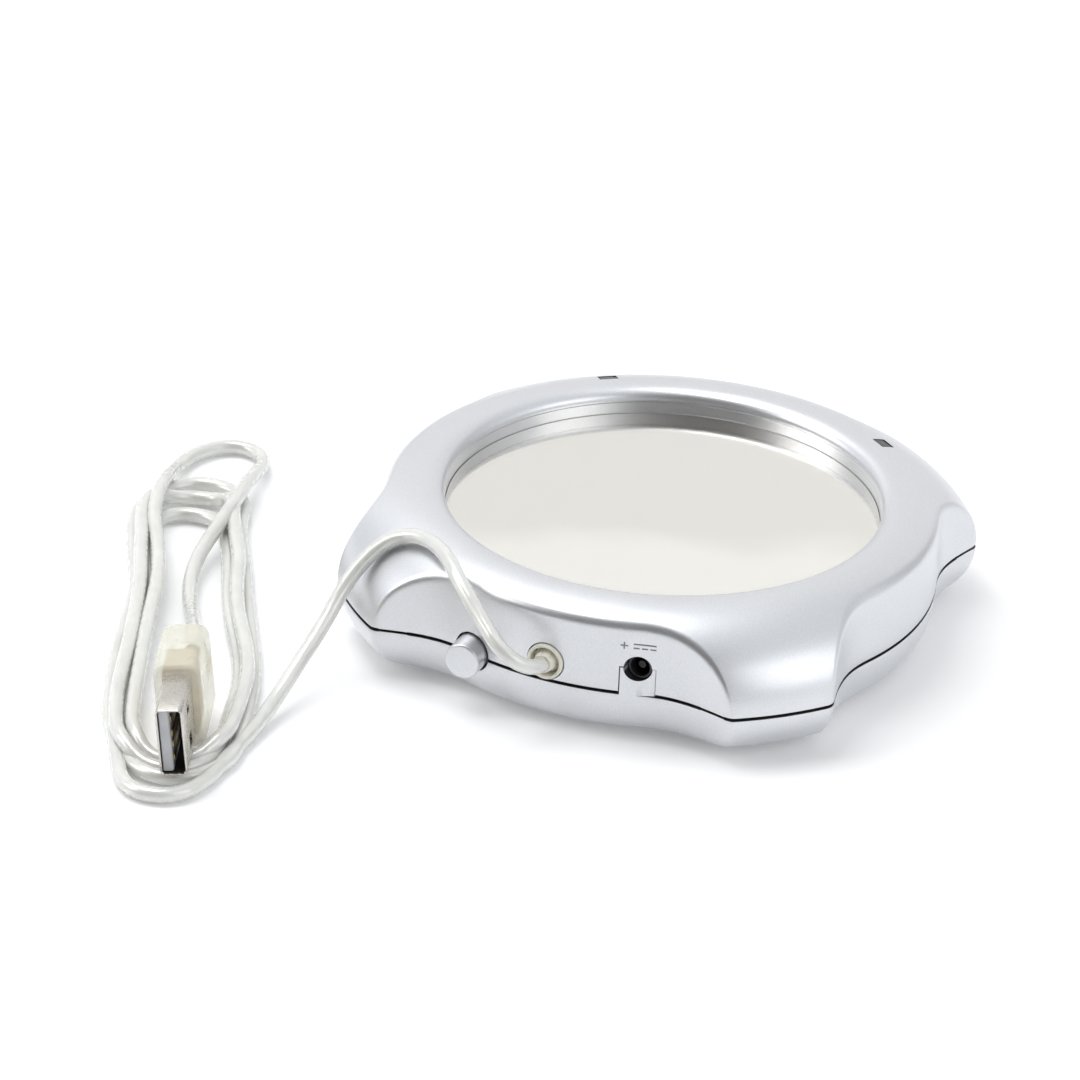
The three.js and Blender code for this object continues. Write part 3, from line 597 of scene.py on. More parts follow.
def paint_shade_inside(made, upward):
    """Faces that look into the housing are given black plastic: painted shade, so the seam gap and the inside
    read dark.

    upward is 1 for the lower shell, whose inside looks up, and -1 for the top shell.
    """
    # painted shade: black plastic inside the shells darkens the seam gap
    made.data.materials.append(FINISHES["black_plastic"].material)
    for polygon in made.data.polygons:
        where = (polygon.center - AXIS) / MM
        radius = math.hypot(where.x, where.y)
        outwards = (polygon.normal.x * where.x + polygon.normal.y * where.y) / max(radius, 1)
        looks_in = outwards < -0.5 and radius > SHOULDER
        if where.z > FLOOR_TOP - 0.05 and (looks_in or polygon.normal.z * upward > 0.3):
            polygon.material_index = 1
    return made


def front_rod(where, radius, inside=BEHIND_WALL):
    """A bar for cutting a round hole in the front wall."""
    return cutter_rod(radius, (where.x, IN_FRONT, where.z), (where.x, inside, where.z))


TAB_HALF = 2.8
TAB_GAP = 0.2
TAB_ROOT = 1.2
WINDOW_ALONG = 3.4
WINDOW_ACROSS = 2.4
UNDER_DOME = 18
OVER_DOME = 26


def window_place(side):
    where = seen_from_axis("led_window_" + side)
    return math.hypot(where.x, where.y), math.atan2(where.y, where.x)


def top_shell():
    made = ring_of_profiles(
        "top_shell_skin",
        lambda degrees: top_profile(soft_plan_radius(degrees, BODY_RADIUS, WING_RADIUS)),
    )
    tidy(made)
    holes = ((GLAND, GLAND_HOLE), (BUTTON, BUTTON_HOLE), (INLET, INLET_HOLE))
    combine(made, [front_rod(where, radius) for where, radius in holes])
    slot = cutter_box(
        (INLET.x - TAB_HALF - TAB_GAP, IN_FRONT, SEAM_TOP - 1),
        (INLET.x + TAB_HALF + TAB_GAP, BEHIND_WALL, INLET.z + TAB_GAP),
    )
    windows = []
    for side in ("left", "right"):
        radius, angle = window_place(side)
        centre = (radius * math.cos(angle), radius * math.sin(angle))
        windows.append(cutter_box(
            (-WINDOW_ACROSS / 2, -WINDOW_ALONG / 2, UNDER_DOME),
            (WINDOW_ACROSS / 2, WINDOW_ALONG / 2, OVER_DOME),
            angle, centre,
        ))
    combine(made, [slot, *windows])
    tidy(made, 40)
    finish_piece(made, "silver_paint", ["top_shell"])
    return paint_shade_inside(made, -1)


# ---------------- lower shell

LIP_TOP = 10.4
LIP_ROOT = 6.5
NOTCH_HALF = 5.2
NOTCH_TOP = 12
FOOT_RECESS = 5.2
HEAD_RECESS = 2.9


def bottom_profile(degrees):
    """From the middle of the underside out to the seam and back along the inside to the middle."""
    radius = soft_plan_radius(degrees, BODY_RADIUS, WING_RADIUS)
    base = soft_plan_radius(degrees, FLOOR_BODY, FLOOR_WING)
    turns = np.linspace(math.pi / 2, 0, 20)
    bowl = np.stack([
        base + (radius - base) * np.cos(turns),
        SEAM_BOTTOM - (SEAM_BOTTOM - FLOOR) * np.sin(turns),
    ], axis=1)
    bowl[-1] = (radius, SEAM_BOTTOM - EDGE)
    edge = [(radius - 0.3 * EDGE, SEAM_BOTTOM - 0.3 * EDGE), (radius - EDGE, SEAM_BOTTOM)]
    lip = [
        (radius - WALL - 0.5, SEAM_BOTTOM),
        (radius - WALL - 0.5, LIP_TOP),
        (radius - WALL - 1.5, LIP_TOP),
        (radius - WALL - 1.5, LIP_ROOT),
    ]
    back = np.linspace(0.35, math.pi / 2, 8)
    inside = np.stack([
        base - WALL + (radius - base) * np.cos(back),
        SEAM_BOTTOM - (SEAM_BOTTOM - FLOOR_TOP) * np.sin(back),
    ], axis=1)
    inside[:, 0] = np.minimum(inside[:, 0], radius - WALL - 1.6)
    inside = inside[inside[:, 1] < LIP_ROOT - 0.1][-5:]
    centre_out = [(0, FLOOR), (8, FLOOR), (20, FLOOR), (30, FLOOR), (40, FLOOR)]
    centre_back = [(38, FLOOR_TOP), (20, FLOOR_TOP), (8, FLOOR_TOP), (0, FLOOR_TOP)]
    return np.vstack([centre_out, bowl, edge, lip, inside, centre_back])


def block_faces(count):
    """Faces of a block whose points lie in four rows of count: front low, front high, back low, back high."""
    faces = []
    for i in range(count - 1):
        a, b, c, d = (row * count + i for row in range(4))
        faces += [(a, a + 1, b + 1, b), (c, d, d + 1, c + 1), (b, b + 1, d + 1, d), (a, c, c + 1, a + 1)]
    last = count - 1
    faces.append((0, count, 3 * count, 2 * count))
    faces.append((last, 2 * count + last, 3 * count + last, count + last))
    return faces


def tab_block():
    """The tab that fills the slot under the inlet, its face on the front wall."""
    columns = np.linspace(INLET.x - TAB_HALF, INLET.x + TAB_HALF, 15)
    points = []
    for inset in (0.0, WALL):
        for level in (SEAM_BOTTOM - TAB_ROOT, INLET.z):
            for x in columns:
                points.append((x, -math.sqrt((BODY_RADIUS + 0.01 - inset) ** 2 - x ** 2), level))
    return np.array(points), block_faces(len(columns))


def bottom_shell():
    made = ring_of_profiles("bottom_shell_skin", bottom_profile, close_rows=False)
    tidy(made)
    combine(made, [cutter_box(
        (GLAND.x - NOTCH_HALF, IN_FRONT, SEAM_BOTTOM + 0.001),
        (GLAND.x + NOTCH_HALF, BEHIND_LIP, NOTCH_TOP),
    )])
    combine(made, [tab_block()], "UNION")
    combine(made, [front_rod(BUTTON, BUTTON_HOLE, BEHIND_LIP), front_rod(INLET, INLET_HOLE, BEHIND_LIP)])
    holes = []
    for i in (1, 2, 3, 4):
        foot = seen_from_axis(f"foot_{i}")
        head = seen_from_axis(f"case_screw_{i}")
        holes.append(cutter_rod(FOOT_RECESS, (foot.x, foot.y, 0), (foot.x, foot.y, FLOOR + 0.6)))
        holes.append(cutter_rod(HEAD_RECESS, (head.x, head.y, 0), (head.x, head.y, FLOOR + 1.9), 48))
    combine(made, holes)
    tidy(made, 40)
    finish_piece(made, "silver_paint", ["bottom_shell"])
    return paint_shade_inside(made, 1)


# ---------------- plate, button, gland, inlet, windows, feet


def heated_plate():
    low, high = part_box("heating_plate")
    bottom = low.z / MM
    step = PLATE_TOP - 0.4
    flange = (high.x - low.x) / 2 / MM
    edge = WELL_RADIUS - 0.15
    made = turned("heated_plate_disc", [
        (0, bottom, 0), (flange, bottom, 0), (flange, step, 0), (edge, step, 0),
        (edge, PLATE_TOP, 0.15), (30, PLATE_TOP, 0), (15, PLATE_TOP, 0), (0, PLATE_TOP, 0),
    ], (0, 0), 240)
    return finish_piece(made, "polished_plate", ["heating_plate"])


def button():
    back = (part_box("button_cap")[1].y - AXIS.y) / MM
    flange_front = back - 1.2
    made = turned("push_button", [
        (0, BUTTON_FACE + 0.02, 0), (BUTTON_RADIUS * 0.6, BUTTON_FACE, 0),
        (BUTTON_RADIUS, BUTTON_FACE + 0.03, 0.4), (BUTTON_RADIUS, flange_front, 0),
        (BUTTON_RADIUS + 0.7, flange_front, 0), (BUTTON_RADIUS + 0.7, back, 0), (0, back, 0),
    ], BUTTON, 96, "Y")
    return finish_piece(made, "silver_paint", ["button_cap"], body="button")


def gland():
    """A cream ring with a rounded rim, and in its bore a ribbed stub that holds the lead."""
    stub_end = GLAND_FACE - STUB
    ring = turned("gland_ring", [
        (GLAND_BORE, GLAND_FACE + 1.8, 0), (2.6, GLAND_FACE, 0.25), (3.2, GLAND_FACE, 0.28),
        (3.2, FLANGE_FRONT, 0), (4.4, FLANGE_FRONT, 0), (4.4, FLANGE_BACK, 0),
        (GLAND_BORE, FLANGE_BACK, 0), (GLAND_BORE, GLAND_FACE + 1.8, 0),
    ], GLAND, 96, "Y")
    finish_piece(ring, "cream_vinyl", ["strain_relief"], "gland_vinyl")
    ribs = 7
    stub = turned("gland_stub", [
        (0, stub_end, 0), (1.62, stub_end, 0.12), (1.9, GLAND_FACE + 0.4, 0), (2.2, GLAND_FACE + 1.5, 0),
        (2.43, GLAND_FACE + 1.6, 0), (2.43, STUB_BACK, 0), (0, STUB_BACK, 0),
    ], GLAND, 112, "Y", ripple=lambda angle: 1 - 0.05 * max(0, math.cos(ribs * angle)) ** 3)
    finish_piece(stub, "cream_vinyl", ["strain_relief"], "gland_vinyl")


def inlet():
    low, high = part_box("dc_jack_body")
    front, back = (low.y - AXIS.y) / MM, (high.y - AXIS.y) / MM
    bore = 1.75
    made = turned("dc_inlet_barrel", [
        (bore, front + 0.1, 0.1), (2.1, front, 0.1), (2.1, -40.5, 0), (3.0, -40.4, 0.2), (3.0, back, 0.2),
        (0, back, 0), (0, back - 1.1, 0), (bore, back - 1.1, 0), (bore, front + 0.1, 0),
    ], INLET, 72, "Y")
    return finish_piece(made, "black_plastic", ["dc_jack_body"])


def window(side):
    """A smoked window that follows the dome, a little below its surface."""
    radius, angle = window_place(side)
    across, along = WINDOW_ACROSS / 2 - 0.12, WINDOW_ALONG / 2 - 0.12
    count = 13
    rows = []
    for sink in (0.1, 1.4):
        for u in np.linspace(-across, across, count):
            for v in np.linspace(-along, along, count):
                x, y = radius + u, v
                rounding = 0.12 * max(abs(u) / across, abs(v) / along) ** 8 if sink < 1 else 0
                height = float(dome_height(math.hypot(x, y))) - sink - rounding
                rows.append((x * math.cos(angle) - y * math.sin(angle),
                             x * math.sin(angle) + y * math.cos(angle), height))
    faces = grid_faces(count, count, close_columns=False)
    below = grid_faces(count, count, close_columns=False, first=count * count)
    faces += [tuple(reversed(face)) for face in below]
    rim = list(range(count)) + [i * count + count - 1 for i in range(1, count)]
    rim += [(count - 1) * count + j for j in range(count - 2, -1, -1)]
    rim += [i * count for i in range(count - 2, 0, -1)]
    for a, b in zip(rim, rim[1:] + rim[:1]):
        faces.append((a, b, b + count * count, a + count * count))
    made = tidy(object_from(f"indicator_window_{side}", np.array(rows), faces))
    return finish_piece(made, "smoked_lens", [f"led_window_{side}"])


def foot(number):
    where = seen_from_axis(f"foot_{number}")
    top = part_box(f"foot_{number}")[1].z / MM
    profile = [(0, 0.08, 0), (3.4, 0.0, 0.3), (5, 0, 0.35), (5, top, 0.1), (0, top, 0)]
    made = turned(f"rubber_foot_{number}", profile, where, 64)
    return finish_piece(made, "grey_rubber", [f"foot_{number}"])


# ---------------- printed direct-current sign

SIGN_HEIGHT = INLET.z + 4.2


def sign_bar(left, right, bottom, top):
    """A thin printed bar on the front wall. left and right are arc lengths from the inlet's middle."""
    count = 6
    start = math.asin(INLET.x / BODY_RADIUS)
    points = []
    for lift in (0.025, -0.3):
        for level in (bottom, top):
            for along in np.linspace(left, right, count):
                angle = start + along / BODY_RADIUS
                degrees = math.degrees(angle) - 90
                radius = soft_plan_radius(degrees, BODY_RADIUS, WING_RADIUS) + lift
                points.append((radius * math.sin(angle), -radius * math.cos(angle), level))
    return np.array(points), block_faces(count)


def current_sign():
    """A plus sign, then a solid line over three dashes: direct current."""
    z = SIGN_HEIGHT
    line = 0.13
    plus = -2.45
    arm = 0.65
    rise = 0.24
    bars = [
        sign_bar(plus - arm, plus + arm, z - line, z + line),
        sign_bar(plus - line, plus + line, z + line + 0.001, z + arm),
        sign_bar(plus - line, plus + line, z - arm, z - line - 0.001),
        sign_bar(-0.9, 2.9, z + rise, z + rise + 2 * line),
    ]
    for dash in (-0.9, 0.5, 1.9):
        bars.append(sign_bar(dash, dash + 1.0, z - rise - 2 * line, z - rise))
    made = tidy(object_from("direct_current_sign", *together(bars)))
    return finish_piece(made, "black_plastic", finish="print")


# ---------------- the lead's route, in millimetres

GLAND_ROUTE = [
    (0, -49.3, 12.55), (-0.2, -51.1, 12.8), (-1.0, -53.0, 13.6), (-2.4, -54.3, 14.7),
    (-4.2, -54.8, 16.0), (-6.0, -54.4, 17.1), (-8.2, -52.9, 18.4), (-10.5, -51.4, 19.7),
    (-13.0, -49.9, 21.4), (-15.9, -48.0, 23.2), (-19.4, -44.5, 24.5), (-24.2, -39.9, 24.5),
    (-28.5, -37.6, 24.1), (-32.4, -37.1, 22.9), (-35.7, -38.6, 20.5), (-38.0, -41.0, 17.4),
    (-39.4, -43.8, 14.1), (-40.0, -47.6, 11.0), (-40.4, -52.3, 8.3), (-40.7, -58.0, 5.9),
    (-40.8, -64.3, 3.6), (-40.8, -70.4, 2.0), (-40.6, -76.0, 1.45),
]
HANK_X = -66
HANK_Y = -42
HANK_TURN = 21
ON_TABLE = 1.4
SECOND_LAYER = 3.85
FIRST_FOLD = [
    (-46.6, 9.5), (-52.3, 7.8), (-57.3, 5.9), (-61.4, 3.1), (-63.2, -0.8), (-62.3, -4.7), (-59.0, -7.3),
    (-54.5, -8.5), (-49.5, -9.5), (-44.5, -10.4),
]
FIRST_STRAIGHT = -36.0
LAST_LOOP = [
    (29.0, -12.3, 4.3), (35.0, -12.6, 4.9), (42.0, -12.3, 4.7), (49.5, -11.7, 3.1), (55.0, -10.9, 1.7),
    (60.0, -8.7, 1.4), (63.6, -5.0, 1.4), (64.4, -0.3, 1.4), (61.5, 3.3, 1.4), (56.8, 4.0, 1.7),
    (51.0, 3.1, 2.9), (45.0, 2.2, 4.0), (39.0, 1.5, 4.6), (33.0, 0.3, 4.6), (26.7, -1.2, 4.1),
    (19.8, -3.1, 3.0), (12.7, -3.9, 2.2), (5.0, -3.4, 2.0), (-2.5, -2.3, 3.0), (-9.5, -1.3, 4.9),
    (-16.0, -0.5, 7.0), (-21.5, 0.1, 8.3),
]
INTO_PLUG = (-26.9, 0.5, 8.9)
# insets are from the outermost strand, and rear and front are how far along the hank each fold reaches
TURNS = [
    {"left": 0.0, "right": 0.0, "rear": 49.0, "front": -57.2, "layer": ON_TABLE},
    {"left": 2.8, "right": 2.8, "rear": 37.0, "front": -54.4, "layer": ON_TABLE},
    {"left": 1.4, "right": 1.4, "rear": 43.5, "front": -51.6, "layer": SECOND_LAYER},
]
LAST_INSET = 4.2
FOLD_RADIUS = 6.8


def ease(share):
    share = min(max(share, 0), 1)
    return share * share * (3 - 2 * share)


def middle(along):
    """The line half way between the hank's sides, which wanders a little."""
    front = -1.9 * ease((-15 - along) / 40)
    waist = -1.0 * ease((along - 10) / 22)
    rear = 2.5 * ease((along - 34) / 14)
    return -3.0 - 0.085 * along + front + waist + rear


def half_width(along):
    front_swell = 1.3 * math.exp(-(((along + 26) / 16) ** 2))
    waist = 0.9 * math.exp(-(((along - 8) / 14) ** 2))
    return 10.6 + front_swell - waist - 1.2 * ease((along - 12) / 22)


def to_table(along, across, height):
    angle = math.radians(90 + HANK_TURN)
    c, s = math.cos(angle), math.sin(angle)
    return (HANK_X + along * c + across * s, HANK_Y + along * s - across * c, height)


def straight(start, end, side, inset, height, phase):
    """A run down one side of the hank, side being -1 or 1."""
    count = 9
    points = []
    for i in range(count + 1):
        along = start + (end - start) * i / count
        drift = 0.3 * math.sin(along / 8.5 + phase) * min(1, i / 2, (count - i) / 2)
        across = middle(along) + side * (half_width(along) - inset) + drift
        points.append(to_table(along, across, height))
    return points


def fold_reach(tip, end, insets):
    width = half_width(tip - end * 10) - (insets[0] + insets[1]) / 2
    return max(width, width * width / FOLD_RADIUS)


def fold(tip, end, side, insets, heights, low):
    """Half an ellipse round an end of the hank: end is 1 at the rear and -1 at the front."""
    count = 10
    reach = fold_reach(tip, end, insets)
    centre = tip - end * reach
    points = []
    for i in range(1, count):
        angle = math.pi * i / count
        share = 0.5 - 0.5 * math.cos(angle)
        inset = insets[0] + (insets[1] - insets[0]) * share
        along = centre + end * reach * math.sin(angle)
        across = middle(along) + side * (half_width(centre) - inset) * math.cos(angle)
        edge = heights[0] if i < count / 2 else heights[1]
        drop = ease((math.sin(angle) - 0.55) / 0.38)
        points.append(to_table(along, across, edge + (low - edge) * drop))
    return points


def hank_points():
    points = [to_table(along, across, ON_TABLE) for along, across in FIRST_FOLD]
    left_start = FIRST_STRAIGHT
    for number, turn in enumerate(TURNS):
        layer = turn["layer"]
        sides = (turn["left"], turn["right"])
        rear_start = turn["rear"] - fold_reach(turn["rear"], 1, sides) - 1.5
        points += straight(left_start, rear_start, -1, turn["left"], layer, number * 1.9)
        points += fold(turn["rear"], 1, -1, sides, (layer, layer), ON_TABLE)
        last = number == len(TURNS) - 1
        next_inset = LAST_INSET if last else TURNS[number + 1]["left"]
        next_layer = SECOND_LAYER + 0.05 if last else TURNS[number + 1]["layer"]
        sides = (turn["right"], next_inset)
        front_end = turn["front"] + fold_reach(turn["front"], -1, sides) + 1.5
        points += straight(rear_start, front_end, 1, turn["right"], layer, number * 1.3 + 2)
        points += fold(turn["front"], -1, 1, sides, (layer, next_layer), ON_TABLE)
        left_start = front_end
    points += straight(left_start, 23.0, -1, LAST_INSET, SECOND_LAYER + 0.05, 5)
    points += [to_table(*where) for where in LAST_LOOP]
    return points


def even(curve, spacing):
    steps = np.linalg.norm(np.diff(curve, axis=0), axis=1)
    return even_points(curve, max(2, int(round(steps.sum() / spacing))) + 1)


def between(a, b, start, end, t):
    """From a, where t is start, to b, where t is end."""
    return a + (b - a) * (t - start) / (end - start)


def smooth(points, spacing):
    """A centripetal Catmull-Rom curve through the points, as points at equal spacing."""
    p = np.array(points, float)
    p = np.vstack([2 * p[0] - p[1], p, 2 * p[-1] - p[-2]])
    curve = []
    for a, b, c, d in zip(p[:-3], p[1:-2], p[2:-1], p[3:]):
        knots = [0]
        for start, end in ((a, b), (b, c), (c, d)):
            knots.append(knots[-1] + max(np.linalg.norm(end - start), 1e-6) ** 0.5)
        t0, t1, t2, t3 = knots
        for t in np.linspace(t1, t2, 12, endpoint=False):
            bc = between(b, c, t1, t2, t)
            abc = between(between(a, b, t0, t1, t), bc, t0, t2, t)
            bcd = between(bc, between(c, d, t2, t3, t), t1, t3, t)
            curve.append(between(abc, bcd, t1, t2, t))
    curve.append(p[-2])
    return even(np.array(curve), spacing)


def relax(curve, rounds):
    """Evens out the bends, with both ends held."""
    for _ in range(rounds):
        curve[1:-1] = 0.5 * curve[1:-1] + 0.25 * (curve[:-2] + curve[2:])
    return curve


def lead_route():
    points = GLAND_ROUTE + hank_points() + [to_table(*INTO_PLUG)]
    return even(relax(smooth(points, 1.0), 6), 1.0)


# ---------------- the lead


def tube(name, route, radius, sides):
    """A closed tube along a route, with a UV map in metres along it and turns round it."""
    ahead = np.gradient(route, axis=0)
    ahead /= np.linalg.norm(ahead, axis=1)[:, None]
    up = np.array([0, 0, 1]) - ahead * ahead[:, 2:3]
    up /= np.linalg.norm(up, axis=1)[:, None]
    side = np.cross(ahead, up)
    turns = np.arange(sides) / sides
    angles = 2 * math.pi * turns
    ring = -np.cos(angles)[None, :, None] * up[:, None] + np.sin(angles)[None, :, None] * side[:, None]
    points = (route[:, None] + radius * ring).reshape(-1, 3)
    rows = len(route)
    faces = grid_faces(rows, sides)
    faces.append(tuple(range(sides))[::-1])
    faces.append(tuple((rows - 1) * sides + j for j in range(sides)))
    made = object_from(name, points, faces)
    reach = np.concatenate([[0], np.cumsum(np.linalg.norm(np.diff(route, axis=0), axis=1))]) * MM
    layer = made.data.uv_layers.new(name="along_and_round")
    for polygon in made.data.polygons:
        columns = [made.data.loops[k].vertex_index % sides for k in polygon.loop_indices]
        wraps = max(columns) - min(columns) > 1
        for k, column in zip(polygon.loop_indices, columns):
            row = made.data.loops[k].vertex_index // sides
            turn = 1.0 if wraps and column == 0 else column / sides
            layer.data[k].uv = (reach[row], turn)
    made.data.shade_smooth()
    made.data.set_sharp_from_angle(angle=math.radians(50))
    return made


# ---------------- the plug

PLUG_TURN = math.radians(201)
PLUG_LEAN = math.radians(6)
SHELL_WIDTH = 4.5
SHELL_HEIGHT = 12.0
SHELL_LENGTH = 12.1
SHELL_WALL = 0.35
GRIP_WIDTH = 8.0
GRIP_HEIGHT = 15.5
GRIP_FRONT = -12.35
GRIP_BACK = -28.35
BOOT_END = -31.85
PLUG_FRAME = Matrix.Rotation(PLUG_TURN, 3, "Z") @ Matrix.Rotation(PLUG_LEAN, 3, "Y")
PLUG_TIP = seen_from_axis("plug_shell") + PLUG_FRAME @ Vector((0, SHELL_LENGTH / 2, 0))


def on_plug(points):
    """From the plug's own frame, with its tip at the origin pointing along +Y, to the well's."""
    return np.asarray(points, float) @ np.array(PLUG_FRAME).T + np.array(PLUG_TIP)


def section(half_width, half_height, corner, y, steps=8):
    """A rounded rectangle across the plug."""
    points = []
    corner = min(corner, half_width, half_height)
    for quarter, (side_x, side_z) in enumerate(((1, 1), (-1, 1), (-1, -1), (1, -1))):
        for i in range(steps + 1):
            angle = math.pi / 2 * (quarter + i / steps)
            points.append((side_x * (half_width - corner) + corner * math.cos(angle), y,
                           side_z * (half_height - corner) + corner * math.sin(angle)))
    return points


def loft(name, sections, closed=False, smooth_below=35):
    """Skins rings of equal length. A closed loft joins its last ring to its first, others are capped."""
    count = len(sections[0])
    points = on_plug(np.concatenate([np.array(ring, float) for ring in sections]))
    faces = grid_faces(len(sections), count, close_rows=closed)
    if not closed:
        faces.append(tuple(range(count)))
        faces.append(tuple((len(sections) - 1) * count + j for j in range(count)))
    return tidy(object_from(name, points, faces), smooth_below)


def plug_grip():
    """The moulded grip: flat front, rounded back, and a tapering neck round the lead."""
    w, h = GRIP_WIDTH / 2, GRIP_HEIGHT / 2
    rings = [section(w - 0.6, h - 0.6, 1.6, GRIP_FRONT)]
    for turn in np.linspace(0, math.pi / 2, 6):
        fillet = 0.6 * (1 - math.sin(turn))
        rings.append(section(w - fillet, h - fillet, 2.1, GRIP_FRONT - 0.6 * (1 - math.cos(turn))))
    rings.append(section(w, h, 2.1, (GRIP_FRONT + GRIP_BACK) / 2))
    back = 2.2
    for turn in np.linspace(0, math.pi / 2 * 0.94, 9):
        narrow = back * (1 - math.cos(turn))
        rings.append(section(w - narrow * 0.7, h - narrow, 2.1, GRIP_BACK + back - back * math.sin(turn)))
    for share in np.linspace(0, 1, 10):
        radius = 3.2 - 1.3 * share + 0.35 * math.exp(-share * 9)
        y = GRIP_BACK - 0.05 - (GRIP_BACK - BOOT_END - 0.25) * share
        rings.append(section(radius, radius, radius, y))
    rings.append(section(1.75, 1.75, 1.75, BOOT_END))
    made = loft("plug_grip", rings, smooth_below=50)
    return finish_piece(made, "cream_vinyl", ["plug_overmould"])


def plug_core():
    """The stiff inner moulding, seen dimly through the grip."""
    rings = []
    for y, shrink in ((GRIP_FRONT - 1.0, 0.4), (GRIP_FRONT - 1.4, 0), (-21.0, 0), (-21.8, 0.6), (-24.6, 1.6)):
        rings.append(section(2.7 - shrink * 0.6, 6.2 - shrink * 1.4, 0.9, y))
    made = loft("plug_core", rings)
    return finish_piece(made, "cream_vinyl", ["plug_overmould"], "plug_inner")


def plug_can():
    """The plug's steel shell, with its latch windows and a rolled mouth; its inside is painted shade."""
    w, h = SHELL_WIDTH / 2, SHELL_HEIGHT / 2
    inner_w, inner_h = w - SHELL_WALL, h - SHELL_WALL
    root = -SHELL_LENGTH - 2.0
    profile = [
        (0, 0.75, root), (0, 0.75, -SHELL_LENGTH), (0, 0.75, -6), (0, 0.75, -0.14), (0.05, 0.7, -0.04),
        (0.14, 0.62, 0), (0.24, 0.52, -0.01), (SHELL_WALL, 0.4, -0.12), (SHELL_WALL, 0.4, -6),
        (SHELL_WALL, 0.4, root),
    ]
    rings = [section(w - inset, h - inset, corner, y) for inset, corner, y in profile]
    made = loft("plug_can", rings, closed=True)
    latches = []
    for z in (-3.1, 3.1):
        points, faces = cutter_box((-w - 1, -8.2, z - 1.25), (w + 1, -5.7, z + 1.25))
        latches.append((on_plug(points), faces))
    combine(made, latches)
    tidy(made, 35)
    finish_piece(made, "plug_steel", ["plug_shell"])
    # painted shade: faces inside the shell get near black steel
    made.data.materials.append(FINISHES["dark_steel"].material)
    to_plug = PLUG_FRAME.transposed()
    for polygon in made.data.polygons:
        where = to_plug @ ((polygon.center - AXIS) / MM - PLUG_TIP)
        if abs(where.x) < inner_w + 0.05 and abs(where.z) < inner_h + 0.05 and where.y < -0.3:
            polygon.material_index = 1
    return made


def plug_insert():
    """The plastic tongue that the contacts lie on, chamfered at its front end."""
    side = SHELL_WIDTH / 2 - SHELL_WALL - 0.02
    thick = 1.85
    h = SHELL_HEIGHT / 2 - SHELL_WALL - 0.03
    back, front = -SHELL_LENGTH - 1.5, -0.55
    low = side - thick
    outline = [
        (low + 0.25, -h), (side - 0.2, -h), (side, -h + 0.2), (side, h - 0.2),
        (side - 0.2, h), (low + 0.25, h), (low, h - 0.25), (low, -h + 0.25),
    ]
    rings = []
    centre = (low + side) / 2
    for y, shrink in ((back, 0.0), (front - 0.3, 0.0), (front, 0.22)):
        rings.append([(centre + (x - centre) * (1 - shrink), y, z * (1 - shrink * 0.15)) for x, z in outline])
    made = loft("plug_insert", rings, smooth_below=25)
    return finish_piece(made, "tongue_white", ["plug_tongue"])


# ---------------- build

top_shell()
bottom_shell()
heated_plate()
button()
gland()
inlet()
window("left")
window("right")
for number in (1, 2, 3, 4):
    foot(number)
current_sign()

route = lead_route()
jacket = tube("lead_jacket", route, CORD_RADIUS, 20)
finish_piece(jacket, "clear_vinyl", ["usb_cable", "cable_hank"])
braid = tube("lead_braid", route, BRAID_RADIUS, 16)
finish_piece(braid, "clear_vinyl", finish="braid")
plug_pieces = [plug_grip(), plug_core(), plug_can(), plug_insert()]

for subpart in frame["record"]["subparts"]:
    node = frame["nodes"].get(subpart["node"])
    if node is not None and subpart["material_slot"] in FINISHES:
        # the inlet's pin gets near black steel: painted shade inside the jack's bore
        paint(node, "dark_steel" if subpart["node"] == "dc_jack_pin" else subpart["material_slot"])

# ---------------- floor, light and view

FLOOR_GAP = 0.0001


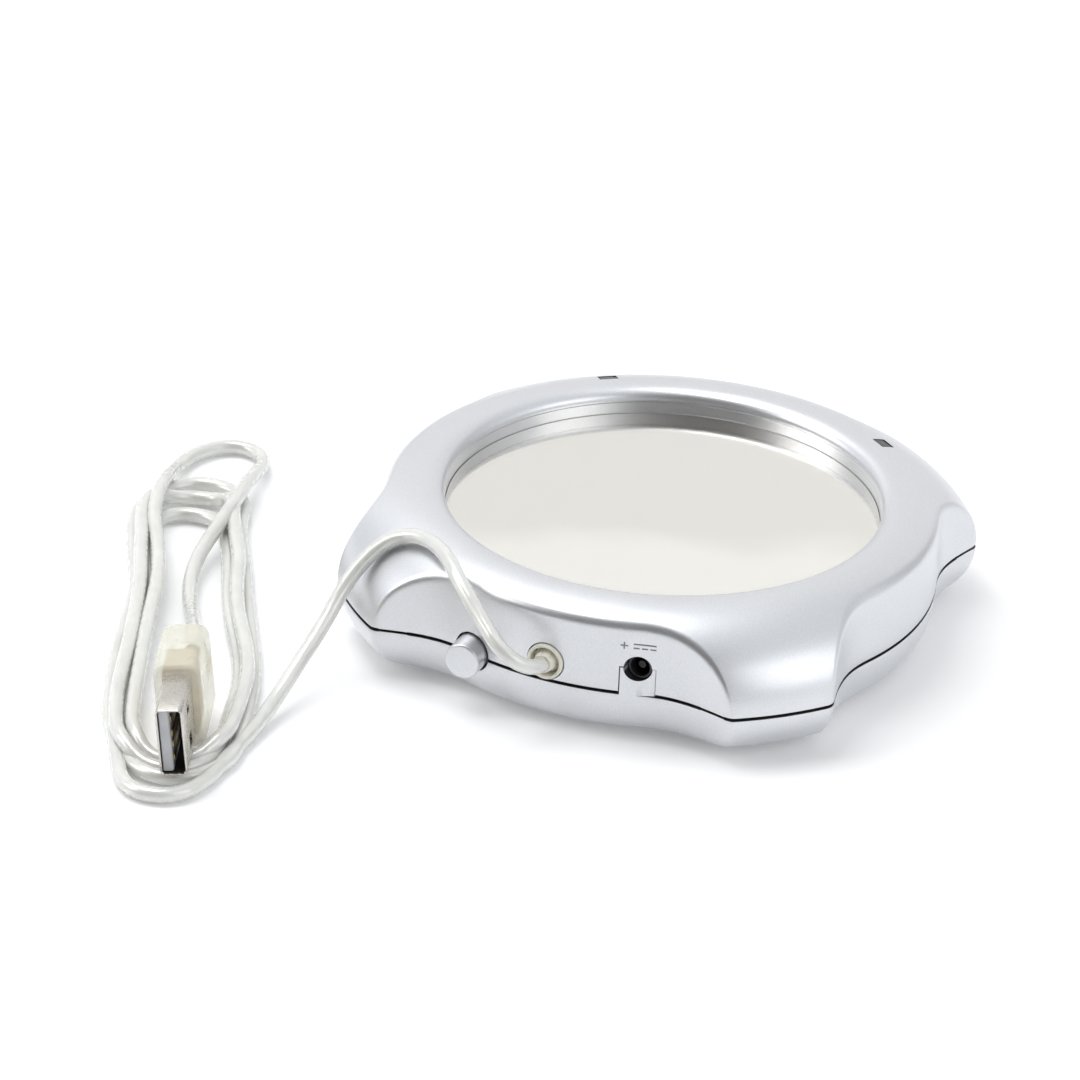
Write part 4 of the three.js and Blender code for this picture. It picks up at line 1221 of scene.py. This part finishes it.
def floor():
    """A pale seamless floor that curves up into a backdrop."""
    front, back, half, bend = -1.5, 1.2, 2.0, 0.6
    curve = [(front, 0), (back, 0)]
    for turn in np.linspace(0.1, math.pi / 2, 14):
        curve.append((back + bend * math.sin(turn), bend * (1 - math.cos(turn))))
    curve.append((back + bend, 2.2))
    points = [(x, y, z - FLOOR_GAP) for y, z in curve for x in (-half, half)]
    faces = [(2 * i, 2 * i + 1, 2 * i + 3, 2 * i + 2) for i in range(len(curve) - 1)]
    mesh = bpy.data.meshes.new("floor")
    mesh.from_pydata(points, [], faces)
    made = add_to_scene("floor", mesh)
    made.data.shade_smooth()
    finish = Finish("floor", (0.90, 0.905, 0.91), 0.55, Emission_Color=(1, 1, 1, 1), Emission_Strength=0.14)
    finish.vary("Roughness", finish.noise(30, 2), 0.5, 0.6)
    made.data.materials.append(finish.material)


def area_light(name, where, aim, size, power, colour=(1, 1, 1)):
    data = bpy.data.lights.new(name, "AREA")
    data.shape = "RECTANGLE"
    data.size, data.size_y = size
    data.energy = power
    data.color = colour
    light = add_to_scene(name, data)
    light.location = where
    light.rotation_euler = (Vector(aim) - Vector(where)).to_track_quat("-Z", "Y").to_euler()


def room():
    """A pale room with a dim brown patch in front of the object and above it."""
    world = bpy.data.worlds.new("pale_room")
    world.use_nodes = True
    nodes, links = world.node_tree.nodes, world.node_tree.links
    direction = nodes.new("ShaderNodeTexCoord")
    towards = nodes.new("ShaderNodeVectorMath")
    towards.operation = "DOT_PRODUCT"
    towards.inputs[1].default_value = Vector((-0.15, -0.85, 0.5)).normalized()
    links.new(direction.outputs["Generated"], towards.inputs[0])
    share = nodes.new("ShaderNodeMapRange")
    share.interpolation_type = "SMOOTHSTEP"
    share.inputs["From Min"].default_value = 0.5
    share.inputs["From Max"].default_value = 0.82
    links.new(towards.outputs["Value"], share.inputs["Value"])
    colour = nodes.new("ShaderNodeMix")
    colour.data_type = "RGBA"
    colour.inputs[6].default_value = (0.83, 0.85, 0.88, 1)
    colour.inputs[7].default_value = (0.03, 0.025, 0.02, 1)
    links.new(share.outputs["Result"], colour.inputs[0])
    background = nodes["Background"]
    links.new(colour.outputs[2], background.inputs["Color"])
    background.inputs["Strength"].default_value = 0.95
    bpy.context.scene.world = world


floor()
room()
area_light("key", (-0.35, 0.0, 0.95), (0, 0, 0), (0.6, 0.6), 5.0)
area_light("left", (-0.8, -0.45, 0.55), (0, 0, 0), (0.6, 0.5), 3.2)
area_light("right", (0.85, -0.2, 0.5), (0, 0, 0), (0.6, 0.6), 1.6)
area_light("rear_card", (-0.42, 1.0, 0.6), (0, 0, 0), (1.9, 1.1), 2.3, (1.0, 0.985, 0.95))
bpy.context.scene.view_settings.view_transform = "Standard"
